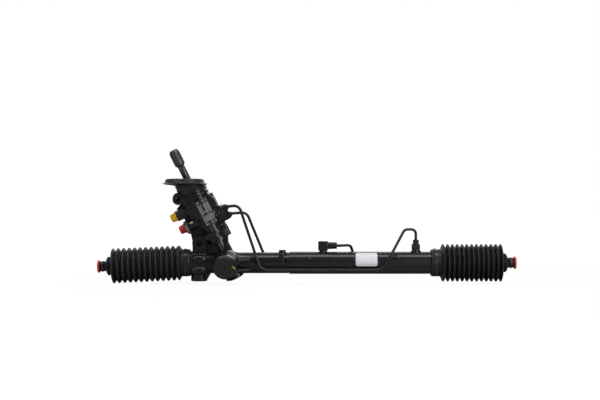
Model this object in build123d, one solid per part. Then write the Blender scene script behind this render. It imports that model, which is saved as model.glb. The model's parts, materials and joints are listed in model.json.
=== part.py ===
from build123d import *
from math import acos, asin, cos, pi, radians, sin, sqrt, tan
import os

# Hydraulic power steering rack. Millimetres, +X along the rack bar towards the cylinder end, +Z up,
# +Y away from the yoke plug. The origin is on the rack axis, at the middle of the seat that the
# split clamp holds on the cylinder tube. A REACH is measured along the rack from the pinion crossing.
# Heights of the pinion tower are measured up the pinion axis from the place nearest the rack.

# ---- clearances ----
RUN_FIT = 0.04               # radial clearance of a running fit
SLIDE_FIT = 0.05             # radial clearance of a sliding fit
FREE_GAP = 0.3               # open gap between parts that never touch
SEAT_GAP = 0.02              # gap of a seated, static part

# ---- shaft angles ----
PINION_ANGLE = 25.8          # pinion axis from square to the rack
TOWER_LEAN = 8.0             # pinion tower turned about the rack axis

# ---- places along the rack ----
PINION_X = -365.0            # where the pinion axis crosses over the rack
CASTING_LEFT_REACH = 72.7
CASTING_REACH = 127.0
TUBE_REACH = 428.2
OUTLET_REACH = 394.2         # cylinder port at the far end
CASTING_LEFT = PINION_X - CASTING_LEFT_REACH
CASTING_END = PINION_X + CASTING_REACH
TUBE_END = PINION_X + TUBE_REACH
OUTLET_X = PINION_X + OUTLET_REACH

# ---- rack bar ----
RACK_RADIUS = 13.0
RACK_TRAVEL = 68.0           # each way
RACK_LEFT_REACH = 167.0
RACK_RIGHT_REACH = 498.0
RACK_LEFT = PINION_X - RACK_LEFT_REACH
RACK_RIGHT = PINION_X + RACK_RIGHT_REACH
RACK_CHAMFER = 1.2
RACK_END_THREAD = 6.3        # core radius of the tie rod thread
RACK_END_DEPTH = 28.0
TOOTH_MODULE = 2.0
PINION_TEETH = 7
PRESSURE_ANGLE = 20.0
PROFILE_SHIFT = 0.4
BACKLASH = 0.2
RACK_PITCH_HEIGHT = 6.0      # rack pitch plane above the rack axis
RACK_ADDENDUM = 0.85         # in modules
RACK_DEDENDUM = 1.2
TOOTH_MARGIN = 19.0          # teeth beyond the travel

# ---- piston ----
PISTON_REACH = 295.0
PISTON_X = PINION_X + PISTON_REACH
PISTON_WIDTH = 14.0
CYLINDER_BORE = 20.0         # radius
PISTON_CLEARANCE = 0.25
SNAP_RING_WIDTH = 1.6
SNAP_GROOVE_DEPTH = 1.0
SNAP_RING_PROUD = 1.5
SNAP_RING_GAP = 6.0
PISTON_RING_WIDTH = 3.0
PISTON_RING_DEPTH = 2.5

# ---- pinion and its bearings ----
PINION_TIP_RADIUS = 10.35
PINION_ROOT_RADIUS = 6.35
TEETH_HALF = 13.0
BEARING_LOW = -27.0
BEARING_WIDTH = 8.0
BEARING_BORE = 5.0
BEARING_OUTER = 13.0
BEARING_WALL = 2.6
BALL_RADIUS = 2.0
BALL_COUNT = 8
NUT_HEIGHT = 5.0
NUT_ACROSS = 16.0
CAP_BOTTOM = -38.2
CAP_RADIUS = 17.3
CAP_DISC = 2.4
CAP_SKIRT = 3.2
CAP_WALL = 2.5
NEEDLE_LOW = 19.0
NEEDLE_WIDTH = 10.0
JOURNAL_RADIUS = 10.8
NEEDLE_WALL = 2.6
CUP_RADIUS = 15.0
CUP_LOW = 30.0
SPIGOT_RADIUS = 13.5
SPIGOT_HEIGHT = 6.0
PINION_CLEARANCE = 2.0

# ---- pinion tower and its flange ----
TOWER_RADIUS = 19.2
TOWER_BORE = 15.6
LOWER_BOSS_RADIUS = 21.5
LOWER_BOSS_TOP = -8.0
FLANGE_SPLIT = 65.0          # joint face between the two castings
TOWER_FLANGE = 14.0
VALVE_FLANGE = 7.0
FLANGE_RADIUS = 26.5
RIGHT_LUG = 27.4             # flange bolts, from the pinion axis
LEFT_LUG = 36.0
LEFT_LUG_BACK = 4.0
LUG_RADIUS = 5.0
LEFT_LUG_RADIUS = 6.5
BOLT_RADIUS = 3.0
BOLT_HEAD = 4.0
BOLT_HEAD_HEIGHT = 11.5
BOLT_DEPTH = 14.0
GASKET_RADIUS = 24.0
FLANGE_CUT = 90.0
GALLERY_RADIUS = 5.0         # rounded oil gallery up the front of the tower
GALLERY_LOW = 24.0
GALLERY_HIGH = 47.0
GALLERY_OUT = 16.5
WEB_FRONT = 8.0
WEB_BACK = 16.0
WEB_TOP = 56.0
CORNER_ROUND = 14.0          # between the tower and the top of the rack tube
CORNER_FRONT = 4.0
CORNER_BACK = 15.0

# ---- valve casting ----
VALVE_BORE = 19.0
VALVE_NECK_RADIUS = 23.0
VALVE_NECK_TOP = 90.0
VALVE_BODY_RADIUS = 26.0
VALVE_BODY_TOP = 146.0
RIBBED_RADIUS = 25.5
RIBBED_TOP = 166.0
RIB_COUNT = 3
RIB_PITCH = 5.4
RIB_GROOVE = 1.7
RIB_DEPTH = 1.8
VALVE_TOP = 172.0
SEAL_SEAT_RADIUS = 24.0
FACET_LEFT = 28.0            # flat faces of the casting, across and in front of the pinion axis
FACET_LEFT_FRONT = 15.0
FACET_EDGE = 3.5
FACET_EDGE_FRONT = 28.5
FACET_RIGHT = 20.0
FACET_RIGHT_FRONT = 19.0
FACET_BACK = 2.0
FACET_ROUND = 1.5
BODY_STEP = 2.0
COVER_LEFT = 30.0
KNOB_HEIGHT = 165.6
KNOB_REACH = 34.7
KNOB_RADIUS = 11.6
KNOB_FRONT = 15.0
KNOB_BACK = 7.0
KNOB_HOLE = 7.0
KNOB_HOLE_DEPTH = 7.0
SHOULDER_REACH = 34.0
SHOULDER_LOW = 118.0
SHOULDER_HIGH = 136.0
SHOULDER_FRONT = 16.0
SHOULDER_BACK = 9.0
SHOULDER_BOLT = 5.4
SHOULDER_BOLT_HEIGHT = 11.0
WINDOW_HEIGHT = 128.5
WINDOW_LONG = 22.0
WINDOW_WIDE = 16.0
WINDOW_RIM = 2.8
PAD_HEIGHT = 106.0
PAD_SIDE = 15.0
PAD_PROUD = 1.3
PAD_ROUND = 3.0
SPINE_RADIUS = 3.2           # rounded rib below the pads
SPINE_OUT = 21.5
POCKET_HEIGHT = 82.5
POCKET_RADIUS = 4.4
POCKET_DEPTH = 2.4
SLEEVE_LENGTH = 55.0
SLEEVE_RINGS = 4
SLEEVE_RING_LOW = 8.0
SLEEVE_RING_HIGH = 5.0
RING_WIDTH = 2.0
RING_DEPTH = 1.5
OIL_GROOVE = 6.0
OIL_GROOVE_DEPTH = 2.0
SLEEVE_INSIDE = 11.0

# ---- ports of the valve casting ----
PRESSURE_PORT_HEIGHT = 134.0
PRESSURE_PORT_END = 53.0
PRESSURE_PORT_FRONT = 8.0
PRESSURE_FITTING = 19.0
PRESSURE_FITTING_ACROSS = 21.5
RETURN_PORT_HEIGHT = 104.5
RETURN_PORT_END = 47.0
RETURN_PORT_FRONT = 12.0
RETURN_FITTING = 9.5
RETURN_FITTING_RADIUS = 14.0
PORT_BOSS_RADIUS = 10.2
PORT_BORE = 6.5
FITTING_BORE = 4.6
FITTING_SPIGOT = 8.0
PLUG_RADIUS = 10.3
PLUG_FLANGE = 3.2
PLUG_LENGTH = 13.5
PLUG_GRIP_RADIUS = 9.0
PLUG_NOTCH = 2.0
PLUG_NOTCHES = 6
BODY_PLUG_HEIGHT = 104.0
BODY_PLUG_REACH = 22.0
BODY_PLUG_RADIUS = 4.5
BODY_PLUG_PROUD = 3.4
PIPE_BLOCK_HEIGHT = 97.4
PIPE_BLOCK_LONG = 32.0
PIPE_BLOCK_DEEP = 27.0
PIPE_BLOCK_FACE = 43.0
PIPE_BLOCK_ROUND = 7.0
PIPE_SPACING = 16.8
PIPE_PLATE = 4.0
PIPE_PLATE_EAR = 7.6
PORT_HOLE = 3.2

# ---- input shaft ----
SHAFT_BEARING_LOW = 130.0
SHAFT_BEARING_WIDTH = 9.0
SHAFT_SEAL_WIDTH = 7.0
SHAFT_JOURNAL = 9.5
SHAFT_NECK = 6.95
SHAFT_SHOULDER = 3.0
SHAFT_HEAD = 10.8
HEAD_LOW = 228.0
HEAD_LENGTH = 28.5
HEAD_HIGH = HEAD_LOW + HEAD_LENGTH
NOSE_LENGTH = 5.2
NOSE_RADIUS = 7.6
HEAD_FLARE = 4.0
TONGUE_WIDTH = 10.0
TONGUE_REACH = 7.0
TONGUE_DEPTH = 12.0
STOP_ANGLE = 3.5
ROTOR_SLOTS = 6
ROTOR_SLOT_DEPTH = 1.0
ROTOR_SLOT_WIDTH = 4.0
TORSION_BAR = 3.4
TORSION_WAIST = 2.8
TORSION_BAR_BORE = 4.0
TORSION_BAR_LOW = 34.0
TORSION_END = 12.0
CROSS_PIN = 2.0
CROSS_PIN_SETBACK = 16.5     # below the top of the head
CROSS_PIN_RECESS = 0.6

# ---- bulkhead seal ----
SEAL_REACH = 90.5
SEAL_X = PINION_X - SEAL_REACH
SEAL_Z = 165.3
SEAL_CENTRE_HEIGHT = 178.0
SEAL_RADIUS = 49.0
SEAL_RIM = 5.6
SEAL_BEAD_OUT = 40.5
SEAL_BEAD_WIDE = 14.0
SEAL_BEAD_HEIGHT = 11.0
SEAL_WALL = 3.0

# ---- yoke ----
YOKE_SHIFT = 4.0             # towards the left of the pinion crossing
YOKE_RADIUS = 16.0
YOKE_LOW = 2.0
YOKE_LENGTH = 19.0
YOKE_LINER = 1.0
YOKE_LINER_HALF = 40.0
YOKE_BOSS_RADIUS = 25.0
YOKE_BOSS_REACH = 54.0
YOKE_BOSS_ROOT = 29.3
YOKE_BOSS_FLARE = 38.0
YOKE_BOSS_CHAMFER = 1.5
YOKE_PLUG_SETBACK = 1.0
YOKE_PLUG_LENGTH = 17.5
YOKE_SPRING_WIRE = 1.6
YOKE_SPRING_TURNS = 3
YOKE_SPRING_RADIUS = 5.0
YOKE_POCKET = 7.5
YOKE_POCKET_DEPTH = 7.0
YOKE_PLUG_POCKET = 3.0
YOKE_PLUG_RING = 12.0
YOKE_PLUG_KEY = 7.0
YOKE_PLUG_KEY_DEPTH = 5.0
LOCKNUT_WALL = 5.0
LOCKNUT_HEIGHT = 3.0

# ---- casting forms along the rack ----
CASTING_TUBE = 22.0
RACK_BORE = 14.6
BOOT_SEAT_RADIUS = 25.0
BOOT_SEAT_LENGTH = 22.0
BLOCK_HALF = 22.0
BLOCK_RIGHT_REACH = 43.3
BLOCK_RIGHT = PINION_X - BLOCK_RIGHT_REACH
BLOCK_ROUND = 8.0
RIM_PROUD = 1.2
RIM_WIDTH = 2.4
CORE_LENGTH = 70.0
CORE_SHIFT = 8.0
CORE_HALF = 19.0
FOOT_REACH = 60.5
FOOT_X = PINION_X - FOOT_REACH
FOOT_RADIUS = 17.0
FOOT_ROOT_RADIUS = 17.4
FOOT_BOTTOM = -38.2
FOOT_THREAD = 5.0
FOOT_THREAD_DEPTH = 16.0
FOOT_WEB_REACH = 36.0
FOOT_WEB_HALF = 11.0
EYE_REACH = 58.6
EYE_X = PINION_X - EYE_REACH
EYE_Z = 41.6
EYE_RADIUS = 15.0
EYE_HOLE = 6.2
EYE_MOUTH = 7.6
EYE_MOUTH_DEPTH = 1.4
EYE_FRONT = -22.0
EYE_BACK = -2.0
EYE_DEPTH = 12.5
RIBLET_REACH = 39.0
RIBLET_STEP = 5.0
RIBLET_THICK = 2.0
RIBLET_TOP = 40.0
RIBLET_FRONT = 20.0
FIN_ROOT_REACH = 12.0        # two tapered fins from the yoke boss on to the rack tube
FIN_TIP_REACH = 46.0
FIN_FRONT = 30.0
FIN_TIP_FRONT = 21.5
UPPER_FIN_Z = 8.5
UPPER_FIN_HALF = 6.2
UPPER_FIN_TIP = 2.2
LOWER_FIN_Z = -13.5
LOWER_FIN_HALF = 2.4
STUB_REACH = 114.0
STUB_RADIUS = 7.2
STUB_TOP = 26.9
STUB_FOOT_RADIUS = 8.4
STUB_FOOT_TOP = 22.8
PARTING_REACH = 78.0
PARTING_LENGTH = 30.0
PARTING_Z = -2.5
PARTING_THICK = 2.0
SLOT_REACH = 119.5
SLOT_WIDTH = 2.5
SLOT_DEPTH = 2.6
SLOT_LOW = 2.3
SLOT_HIGH = 19.0
BUSH_LENGTH = 16.0
BUSH_WALL = 3.4

# ---- boots and their ends ----
LEFT_COLLAR_REACH = 97.0
LEFT_COLLAR_X = PINION_X - LEFT_COLLAR_REACH
COLLAR_SETBACK = 3.0
LEFT_COLLAR = 18.5
RIGHT_COLLAR = 20.5
RIGHT_COLLAR_X = TUBE_END - COLLAR_SETBACK
RIGHT_FOLDS_X = RIGHT_COLLAR_X + RIGHT_COLLAR
COLLAR_WALL = 3.0
LEFT_FOLDS = 13
LEFT_PITCH = 11.5
LEFT_SAG = 2.6               # degrees
RIGHT_FOLDS = 13
RIGHT_PITCH = 10.1
FOLD_RIDGE = 37.0
FOLD_VALLEY = 29.5
FOLD_FLAT = 0.8
RUBBER = 1.6
SMALL_FOLD = 20.8
SMALL_FOLD_LENGTH = 10.0
NECK_RADIUS = 10.4
NECK_LENGTH = 13.0
END_PLUG_RADIUS = 12.5
END_PLUG_FLANGE = 4.0
END_PLUG_STEM = 10.0
CLAMP_THICK = 0.8
CLAMP_WIDTH = 7.0
NECK_CLAMP_WIDTH = 5.0

# ---- cylinder ----
TUBE_RADIUS = 23.4
CARRIER_LENGTH = 12.0
GLAND_LENGTH = 16.0
GLAND_SETBACK = 3.0
INNER_SEAL_LENGTH = 9.0
OUTER_SEAL_LENGTH = 7.0
SEAL_GROOVE_WALL = 3.0
BARREL_NECK = 1.6
BARREL_NECK_STEP = 2.0

# ---- pipes and unions ----
PIPE_RADIUS = 3.0
PIPE_BORE = 2.0
UNION_RADIUS = 8.3
UNION_ACROSS = 15.6
UNION_FOOT = 27.5
UNION_TOP = 40.0
UNION_NUT_ACROSS = 11.0
UNION_NUT_HEIGHT = 8.3
WELD_RADIUS = 10.6
WELD_HEIGHT = 2.2
ELBOW_LEFT_REACH = 189.0
ELBOW_STEP_REACH = 210.0
ELBOW_RIGHT_REACH = 220.0
ELBOW_LEFT = PINION_X + ELBOW_LEFT_REACH
ELBOW_STEP = PINION_X + ELBOW_STEP_REACH
ELBOW_RIGHT = PINION_X + ELBOW_RIGHT_REACH
ELBOW_LOW = 25.6
ELBOW_HIGH = 45.4
ELBOW_ROUND = 2.5
ELBOW_PIPE_Z = 36.0
ELBOW_NUT_ACROSS = 13.4
ELBOW_NUT_LENGTH = 8.5
LONG_TOP_REACH = 23.2        # long pipe, corners of its route
LONG_TOP_Y = -8.0
LONG_TOP_Z = 120.5
LONG_KNEE_REACH = 58.6
LONG_KNEE_Z = 18.0
LONG_RUN_REACH = 70.0
LONG_RUN_Y = -28.5
LONG_RUN_Z = -14.7
ARCH_START_REACH = 321.6
ARCH_KNEE_REACH = 342.5
ARCH_KNEE_Z = 22.0
ARCH_TOP_REACH = 370.0
ARCH_TOP_Y = -8.0
ARCH_TOP_Z = 70.0
BACK_TOP_REACH = 38.5        # short pipe, corners of its route
BACK_TOP_Y = 8.0
BACK_TOP_Z = 106.0
BACK_RUN_REACH = 77.0
BACK_RUN_Y = 30.0
BACK_RUN_Z = 10.0
BACK_END_REACH = 267.0
BACK_HOOK_REACH = 257.0
BACK_HOOK_Y = 3.0
BACK_LEAD = 8.0
PIPE_LEAD = 4.0
LONG_BENDS = [8, 16, 40, 20, 24, 40, 12, 10]
BACK_BENDS = [8, 16, 20, 10, 10, 10]

# ---- label ----
LABEL_REACH = 267.0
LABEL_LENGTH = 48.0
LABEL_MIDDLE_Z = 7.0
LABEL_TALL = 30.0
LABEL_THICK = 0.15

# ---- derived sizes ----
lean = radians(TOWER_LEAN)
steer = radians(PINION_ANGLE)
pitch_radius = TOOTH_MODULE * PINION_TEETH / 2 / cos(steer)
pinion_offset = RACK_PITCH_HEIGHT + pitch_radius + PROFILE_SHIFT * TOOTH_MODULE
tooth_pitch = pi * TOOTH_MODULE
toothed_half = RACK_TRAVEL + TOOTH_MARGIN
gasket_top = FLANGE_SPLIT + FREE_GAP
bolt_seat = gasket_top + VALVE_FLANGE
cup_top = FLANGE_SPLIT + SPIGOT_HEIGHT
sleeve_top = cup_top + SLEEVE_LENGTH
tongue_low = cup_top - TONGUE_DEPTH
nose_tip = HEAD_HIGH + NOSE_LENGTH
cross_pin_height = HEAD_HIGH - CROSS_PIN_SETBACK
yoke_plug_face = YOKE_BOSS_REACH + LOCKNUT_HEIGHT - YOKE_PLUG_SETBACK
yoke_pocket_floor = YOKE_LOW + YOKE_LENGTH - YOKE_POCKET_DEPTH

# Planes that carry the turned parts: local z runs along each part's own axis.
away = Vector(0, cos(lean), sin(lean))
up_shaft = Vector(-sin(steer), -cos(steer) * sin(lean), cos(steer) * cos(lean))
RACK = Plane(origin=(0, 0, 0), x_dir=(0, 1, 0), z_dir=(1, 0, 0))
TOWER = Plane(origin=Vector(PINION_X, 0, 0) + away * pinion_offset,
              x_dir=away.cross(up_shaft), z_dir=up_shaft)
YOKE = Plane(origin=(PINION_X - YOKE_SHIFT, 0, 0), x_dir=(1, 0, 0), z_dir=away * -1)
ELBOW = Plane(origin=(0, 0, ELBOW_PIPE_Z), x_dir=(0, 1, 0), z_dir=(1, 0, 0))


def upright(x, y=0.0):
    """Plane whose z axis stands straight up at a place."""
    return Plane(origin=(x, y, 0))


def toward_viewer(x, z):
    """Plane whose z axis runs along -Y through a place."""
    return Plane(origin=(x, 0, z), x_dir=(1, 0, 0), z_dir=(0, -1, 0))


def on_tower(across, back, height, direction):
    """Plane at a place beside the pinion axis, with its z axis square to that axis."""
    place = TOWER.location * Pos(across, back, height)
    outward = TOWER.x_dir * direction[0] + TOWER.y_dir * direction[1]
    return Plane(origin=place.position, x_dir=TOWER.z_dir, z_dir=outward)


def at(reach, back, height):
    """Place measured from the pinion crossing."""
    return Vector(PINION_X + reach, back, height)


def rod(plane, radius, low, high, across=0.0, back=0.0):
    """Round bar along a plane's z axis between two heights."""
    place = Pos(across, back, low)
    return plane.location * place * Cylinder(radius, high - low, align=(Align.CENTER, Align.CENTER, Align.MIN))


def tube(plane, outer, inner, low, high, across=0.0, back=0.0):
    """Round tube along a plane's z axis."""
    return rod(plane, outer, low, high, across, back) - rod(plane, inner, low - 1, high + 1, across, back)


def block(plane, width, depth, low, high, across=0.0, back=0.0):
    """Rectangular bar along a plane's z axis."""
    place = Pos(across, back, low)
    return plane.location * place * Box(width, depth, high - low, align=(Align.CENTER, Align.CENTER, Align.MIN))


def turned(plane, profile):
    """Solid turned about a plane's z axis from a closed outline of (radius, height) points."""
    points = [(r, 0, h) for r, h in profile]
    face = make_face(Polyline(*points, close=True))
    return plane.location * revolve(face, Axis.Z, 360)


def prism(plane, outline, low, high):
    """Straight solid along a plane's z axis from a closed outline of (x, y) points."""
    face = make_face(Polyline(*outline, close=True))
    return plane.location * Pos(0, 0, low) * extrude(face, high - low)


def side_prism(outline, front, back):
    """Straight solid along Y from a closed outline of (x, z) points."""
    face = Plane.XZ * make_face(Polyline(*outline, close=True))
    return Pos(0, back, 0) * extrude(face, back - front)


def hexagon(plane, across_flats, low, high, turn=0.0):
    """Hexagonal bar along a plane's z axis."""
    outline = Rot(0, 0, turn) * RegularPolygon(across_flats / 2, 6, major_radius=False)
    return plane.location * Pos(0, 0, low) * extrude(outline, high - low)


def pipe_along(points, radii, outer, inner):
    """Pipe bent along straight runs joined by arcs."""
    path = FilletPolyline(*points, radius=radii)
    start = Plane(origin=path @ 0, z_dir=path % 0)
    solid = sweep(start * Circle(outer), path=path)
    return solid - sweep(start * Circle(inner), path=path)


# ---------------------------------------------------------------- rack, piston
def rack_bar():
    """Round bar with teeth cut on its back, a piston land and a thread in each end."""
    bar = rod(RACK, RACK_RADIUS, RACK_LEFT, RACK_RIGHT)
    bar = chamfer(bar.edges().filter_by(GeomType.CIRCLE), RACK_CHAMFER)
    for x in piston_snap_grooves():
        bar -= tube(RACK, RACK_RADIUS + 1, RACK_RADIUS - SNAP_GROOVE_DEPTH, x, x + SNAP_RING_WIDTH)
    bar -= rod(RACK, RACK_END_THREAD, RACK_LEFT - 1, RACK_LEFT + RACK_END_DEPTH)
    bar -= rod(RACK, RACK_END_THREAD, RACK_RIGHT - RACK_END_DEPTH, RACK_RIGHT + 1)
    return bar - rack_tooth_spaces()


def rack_tooth_spaces():
    """Everything that a cutter takes from the back of the bar to leave its straight teeth."""
    tip = RACK_PITCH_HEIGHT + RACK_ADDENDUM * TOOTH_MODULE
    root = RACK_PITCH_HEIGHT - RACK_DEDENDUM * TOOTH_MODULE
    slope = tan(radians(PRESSURE_ANGLE))
    half_space = (tooth_pitch + BACKLASH) / 4
    wide = half_space + (tip - RACK_PITCH_HEIGHT) * slope
    narrow = half_space - (RACK_PITCH_HEIGHT - root) * slope
    spaces = int(toothed_half // tooth_pitch)
    top = RACK_RADIUS + 1
    points = [(-toothed_half, top), (-toothed_half, tip)]
    for k in range(-spaces, spaces + 1):
        middle = k * tooth_pitch
        points += [(middle - wide, tip), (middle - narrow, root), (middle + narrow, root), (middle + wide, tip)]
    points += [(toothed_half, tip), (toothed_half, top)]
    outline = make_face(Polyline(*points, close=True))
    cutter = extrude(outline, RACK_RADIUS + 1, both=True)
    back = Plane(origin=(PINION_X, 0, 0), x_dir=(1, 0, 0), z_dir=(away.cross(Vector(1, 0, 0))) * -1)
    return back.location * cutter


def piston_snap_grooves():
    """Left faces of the two snap ring grooves that hold the piston."""
    half = PISTON_WIDTH / 2
    return PISTON_X - half - SNAP_RING_WIDTH, PISTON_X + half


def piston():
    """Ring on the rack bar with a groove for its seal."""
    low = PISTON_X - PISTON_WIDTH / 2
    high = PISTON_X + PISTON_WIDTH / 2
    radius = CYLINDER_BORE - PISTON_CLEARANCE
    ring = tube(RACK, radius, RACK_RADIUS + SEAT_GAP, low, high)
    half = PISTON_RING_WIDTH / 2
    return ring - tube(RACK, radius + 1, radius - PISTON_RING_DEPTH, PISTON_X - half, PISTON_X + half)


def piston_ring():
    """Seal ring in the piston groove, a running fit in the cylinder."""
    inner = CYLINDER_BORE - PISTON_CLEARANCE - PISTON_RING_DEPTH + SEAT_GAP
    half = PISTON_RING_WIDTH / 2 - SEAT_GAP
    return tube(RACK, CYLINDER_BORE - RUN_FIT, inner, PISTON_X - half, PISTON_X + half)


def piston_snap_rings():
    """Open rings in the bar's grooves on both sides of the piston."""
    rings = []
    inner = RACK_RADIUS - SNAP_GROOVE_DEPTH + SEAT_GAP
    for x in piston_snap_grooves():
        ring = tube(RACK, RACK_RADIUS + SNAP_RING_PROUD, inner, x + SEAT_GAP, x + SNAP_RING_WIDTH - SEAT_GAP)
        gap = Pos(x, RACK_RADIUS, 0) * Box(SNAP_RING_GAP, SNAP_RING_GAP, SNAP_RING_GAP)
        rings.append(ring - gap)
    return rings


# ---------------------------------------------------------------- pinion
def pinion_tooth_profile():
    """Transverse outline of the pinion: involute teeth with the first one pointing at the rack."""
    transverse = tan(radians(PRESSURE_ANGLE)) / cos(steer)
    base = pitch_radius / sqrt(1 + transverse * transverse)
    thickness = tooth_pitch / cos(steer) / 2 + 2 * PROFILE_SHIFT * TOOTH_MODULE * transverse - BACKLASH / 2
    at_pitch = thickness / (2 * pitch_radius) + involute(pitch_radius, base)
    radii = [PINION_ROOT_RADIUS, base + SLIDE_FIT, (base + PINION_TIP_RADIUS) / 2, PINION_TIP_RADIUS]
    points = []
    for tooth in range(PINION_TEETH):
        middle = -pi / 2 + tooth * 2 * pi / PINION_TEETH
        for radius in radii:
            half = at_pitch - involute(max(radius, base), base)
            points.append((radius * cos(middle - half), radius * sin(middle - half)))
        for radius in reversed(radii):
            half = at_pitch - involute(max(radius, base), base)
            points.append((radius * cos(middle + half), radius * sin(middle + half)))
    return make_face(Polyline(*points, close=True))


def involute(radius, base):
    """Involute function at a radius."""
    angle = acos(min(1.0, base / radius))
    return tan(angle) - angle


def pinion_shaft():
    """Helical pinion with its journals, threaded tail and the cup that drives the valve sleeve."""
    bearing_top = BEARING_LOW + BEARING_WIDTH
    solid = pinion_teeth()
    solid += rod(TOWER, BEARING_BORE, BEARING_LOW - NUT_HEIGHT, bearing_top)
    solid += rod(TOWER, PINION_ROOT_RADIUS, bearing_top, NEEDLE_LOW)
    solid += rod(TOWER, JOURNAL_RADIUS, NEEDLE_LOW, CUP_LOW)
    solid += rod(TOWER, CUP_RADIUS, CUP_LOW, cup_top)
    solid += rod(TOWER, SPIGOT_RADIUS, cup_top, cup_top + SPIGOT_HEIGHT)
    top = cup_top + SPIGOT_HEIGHT + 1
    slot = block(TOWER, stop_slot_width(), 2 * (TONGUE_REACH + FREE_GAP), tongue_low - FREE_GAP, top)
    well = rod(TOWER, SLEEVE_INSIDE, cup_top, top)
    bar_hole = rod(TOWER, TORSION_BAR + FREE_GAP, TORSION_BAR_LOW - FREE_GAP, cup_top)
    return solid - slot - well - bar_hole


def pinion_teeth():
    """Toothed length of the pinion, twisted to its helix."""
    twist = degrees_of(tan(steer) / pitch_radius)
    outline = Rot(0, 0, -twist * TEETH_HALF) * pinion_tooth_profile()
    teeth = Solid.extrude_linear_with_rotation(outline.face(), (0, 0, 0), (0, 0, 2 * TEETH_HALF),
                                               twist * 2 * TEETH_HALF)
    return TOWER.location * Pos(0, 0, -TEETH_HALF) * teeth


def degrees_of(angle):
    """Angle in degrees."""
    return angle * 180 / pi


def stop_slot_width():
    """Width of the slot that lets the tongue turn by the stop angle each way, with a gap left over."""
    half = TONGUE_WIDTH / 2 * cos(radians(STOP_ANGLE)) + TONGUE_REACH * sin(radians(STOP_ANGLE))
    return 2 * (half + SLIDE_FIT)


def pinion_nut():
    """Hexagon nut under the lower bearing."""
    low = BEARING_LOW - NUT_HEIGHT
    nut = hexagon(TOWER, NUT_ACROSS, low, BEARING_LOW)
    return nut - rod(TOWER, BEARING_BORE + SEAT_GAP, low - 1, BEARING_LOW + 1)


def bearing_pitch_radius():
    """Radius of the circle that the balls run on."""
    return (BEARING_BORE + BEARING_OUTER) / 2


def bearing_race(inner, outer, low, high):
    """Race turned from a rectangle with the ball track cut out of it."""
    rectangle = Pos((inner + outer) / 2, (low + high) / 2) * Rectangle(outer - inner, high - low)
    track = Pos(bearing_pitch_radius(), BEARING_LOW + BEARING_WIDTH / 2) * Circle(BALL_RADIUS + SLIDE_FIT)
    return TOWER.location * revolve(Plane.XZ * (rectangle - track), Axis.Z, 360)


def bearing_inner_race():
    """Inner race, pressed on the pinion tail."""
    return bearing_race(BEARING_BORE + SEAT_GAP, BEARING_BORE + BEARING_WALL, BEARING_LOW + SEAT_GAP,
                        BEARING_LOW + BEARING_WIDTH - SEAT_GAP)


def bearing_outer_race():
    """Outer race, seated in the housing."""
    return bearing_race(BEARING_OUTER - BEARING_WALL, BEARING_OUTER - SEAT_GAP, BEARING_LOW,
                        BEARING_LOW + BEARING_WIDTH - SEAT_GAP)


def bearing_balls():
    """Balls between the races."""
    middle = BEARING_LOW + BEARING_WIDTH / 2
    balls = []
    for k in range(BALL_COUNT):
        place = Rot(0, 0, 360 * k / BALL_COUNT) * Pos(bearing_pitch_radius(), 0, middle)
        balls.append(TOWER.location * place * Sphere(BALL_RADIUS))
    return balls


def needle_bearing():
    """Drawn cup bearing round the pinion's upper journal."""
    outer = JOURNAL_RADIUS + NEEDLE_WALL - SEAT_GAP
    top = NEEDLE_LOW + NEEDLE_WIDTH - SEAT_GAP
    return tube(TOWER, outer, JOURNAL_RADIUS + RUN_FIT, NEEDLE_LOW + SEAT_GAP, top)


def pinion_end_cap():
    """Cap that closes the bottom of the pinion bore."""
    top = CAP_BOTTOM + CAP_DISC
    disc = turned(TOWER, [(0, CAP_BOTTOM), (CAP_RADIUS - 1, CAP_BOTTOM), (CAP_RADIUS, CAP_BOTTOM + 1),
                          (CAP_RADIUS, top), (0, top)])
    return disc + tube(TOWER, BEARING_OUTER - SEAT_GAP, BEARING_OUTER - CAP_WALL, top, top + CAP_SKIRT)


# ---------------------------------------------------------------- input shaft
def input_shaft():
    """Valve rotor, seal journal, neck and round head, bored for the torsion bar."""
    rotor_low = cup_top + FREE_GAP
    rotor_top = SHAFT_BEARING_LOW - FREE_GAP
    rotor = SLEEVE_INSIDE - RUN_FIT
    seal_top = SHAFT_BEARING_LOW + SHAFT_BEARING_WIDTH + SHAFT_SEAL_WIDTH + 2
    shaft = turned(TOWER, [
        (0, rotor_low), (rotor, rotor_low), (rotor, rotor_top), (SHAFT_JOURNAL, rotor_top),
        (SHAFT_JOURNAL, seal_top), (SHAFT_NECK, seal_top + SHAFT_SHOULDER), (SHAFT_NECK, HEAD_LOW - HEAD_FLARE),
        (SHAFT_HEAD, HEAD_LOW), (SHAFT_HEAD, HEAD_HIGH), (NOSE_RADIUS, nose_tip), (0, nose_tip)])
    stem = rod(TOWER, TONGUE_WIDTH / 2 - FREE_GAP, tongue_low, rotor_low + 1)
    tongue = block(TOWER, TONGUE_WIDTH, 2 * TONGUE_REACH, tongue_low, rotor_low + 1)
    tongue &= rod(TOWER, TONGUE_REACH, tongue_low, rotor_low + 1)
    shaft = shaft + stem + tongue
    bar_seat = cross_pin_height - TORSION_END
    shaft -= rod(TOWER, TORSION_BAR_BORE, tongue_low - 1, bar_seat)
    shaft -= rod(TOWER, TORSION_BAR, bar_seat - 1, nose_tip + 1)
    return shaft - rotor_slots() - cross_pin_hole()


def rotor_slots():
    """Long shallow slots in the valve rotor that meter the oil."""
    low = cup_top + SLEEVE_LENGTH / 5
    high = sleeve_top - SLEEVE_LENGTH / 5
    slots = []
    for k in range(ROTOR_SLOTS):
        turn = Rot(0, 0, 360 * k / ROTOR_SLOTS) * Pos(SLEEVE_INSIDE, 0, (low + high) / 2)
        slots.append(TOWER.location * turn * Box(2 * ROTOR_SLOT_DEPTH, ROTOR_SLOT_WIDTH, high - low))
    return slots


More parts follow.
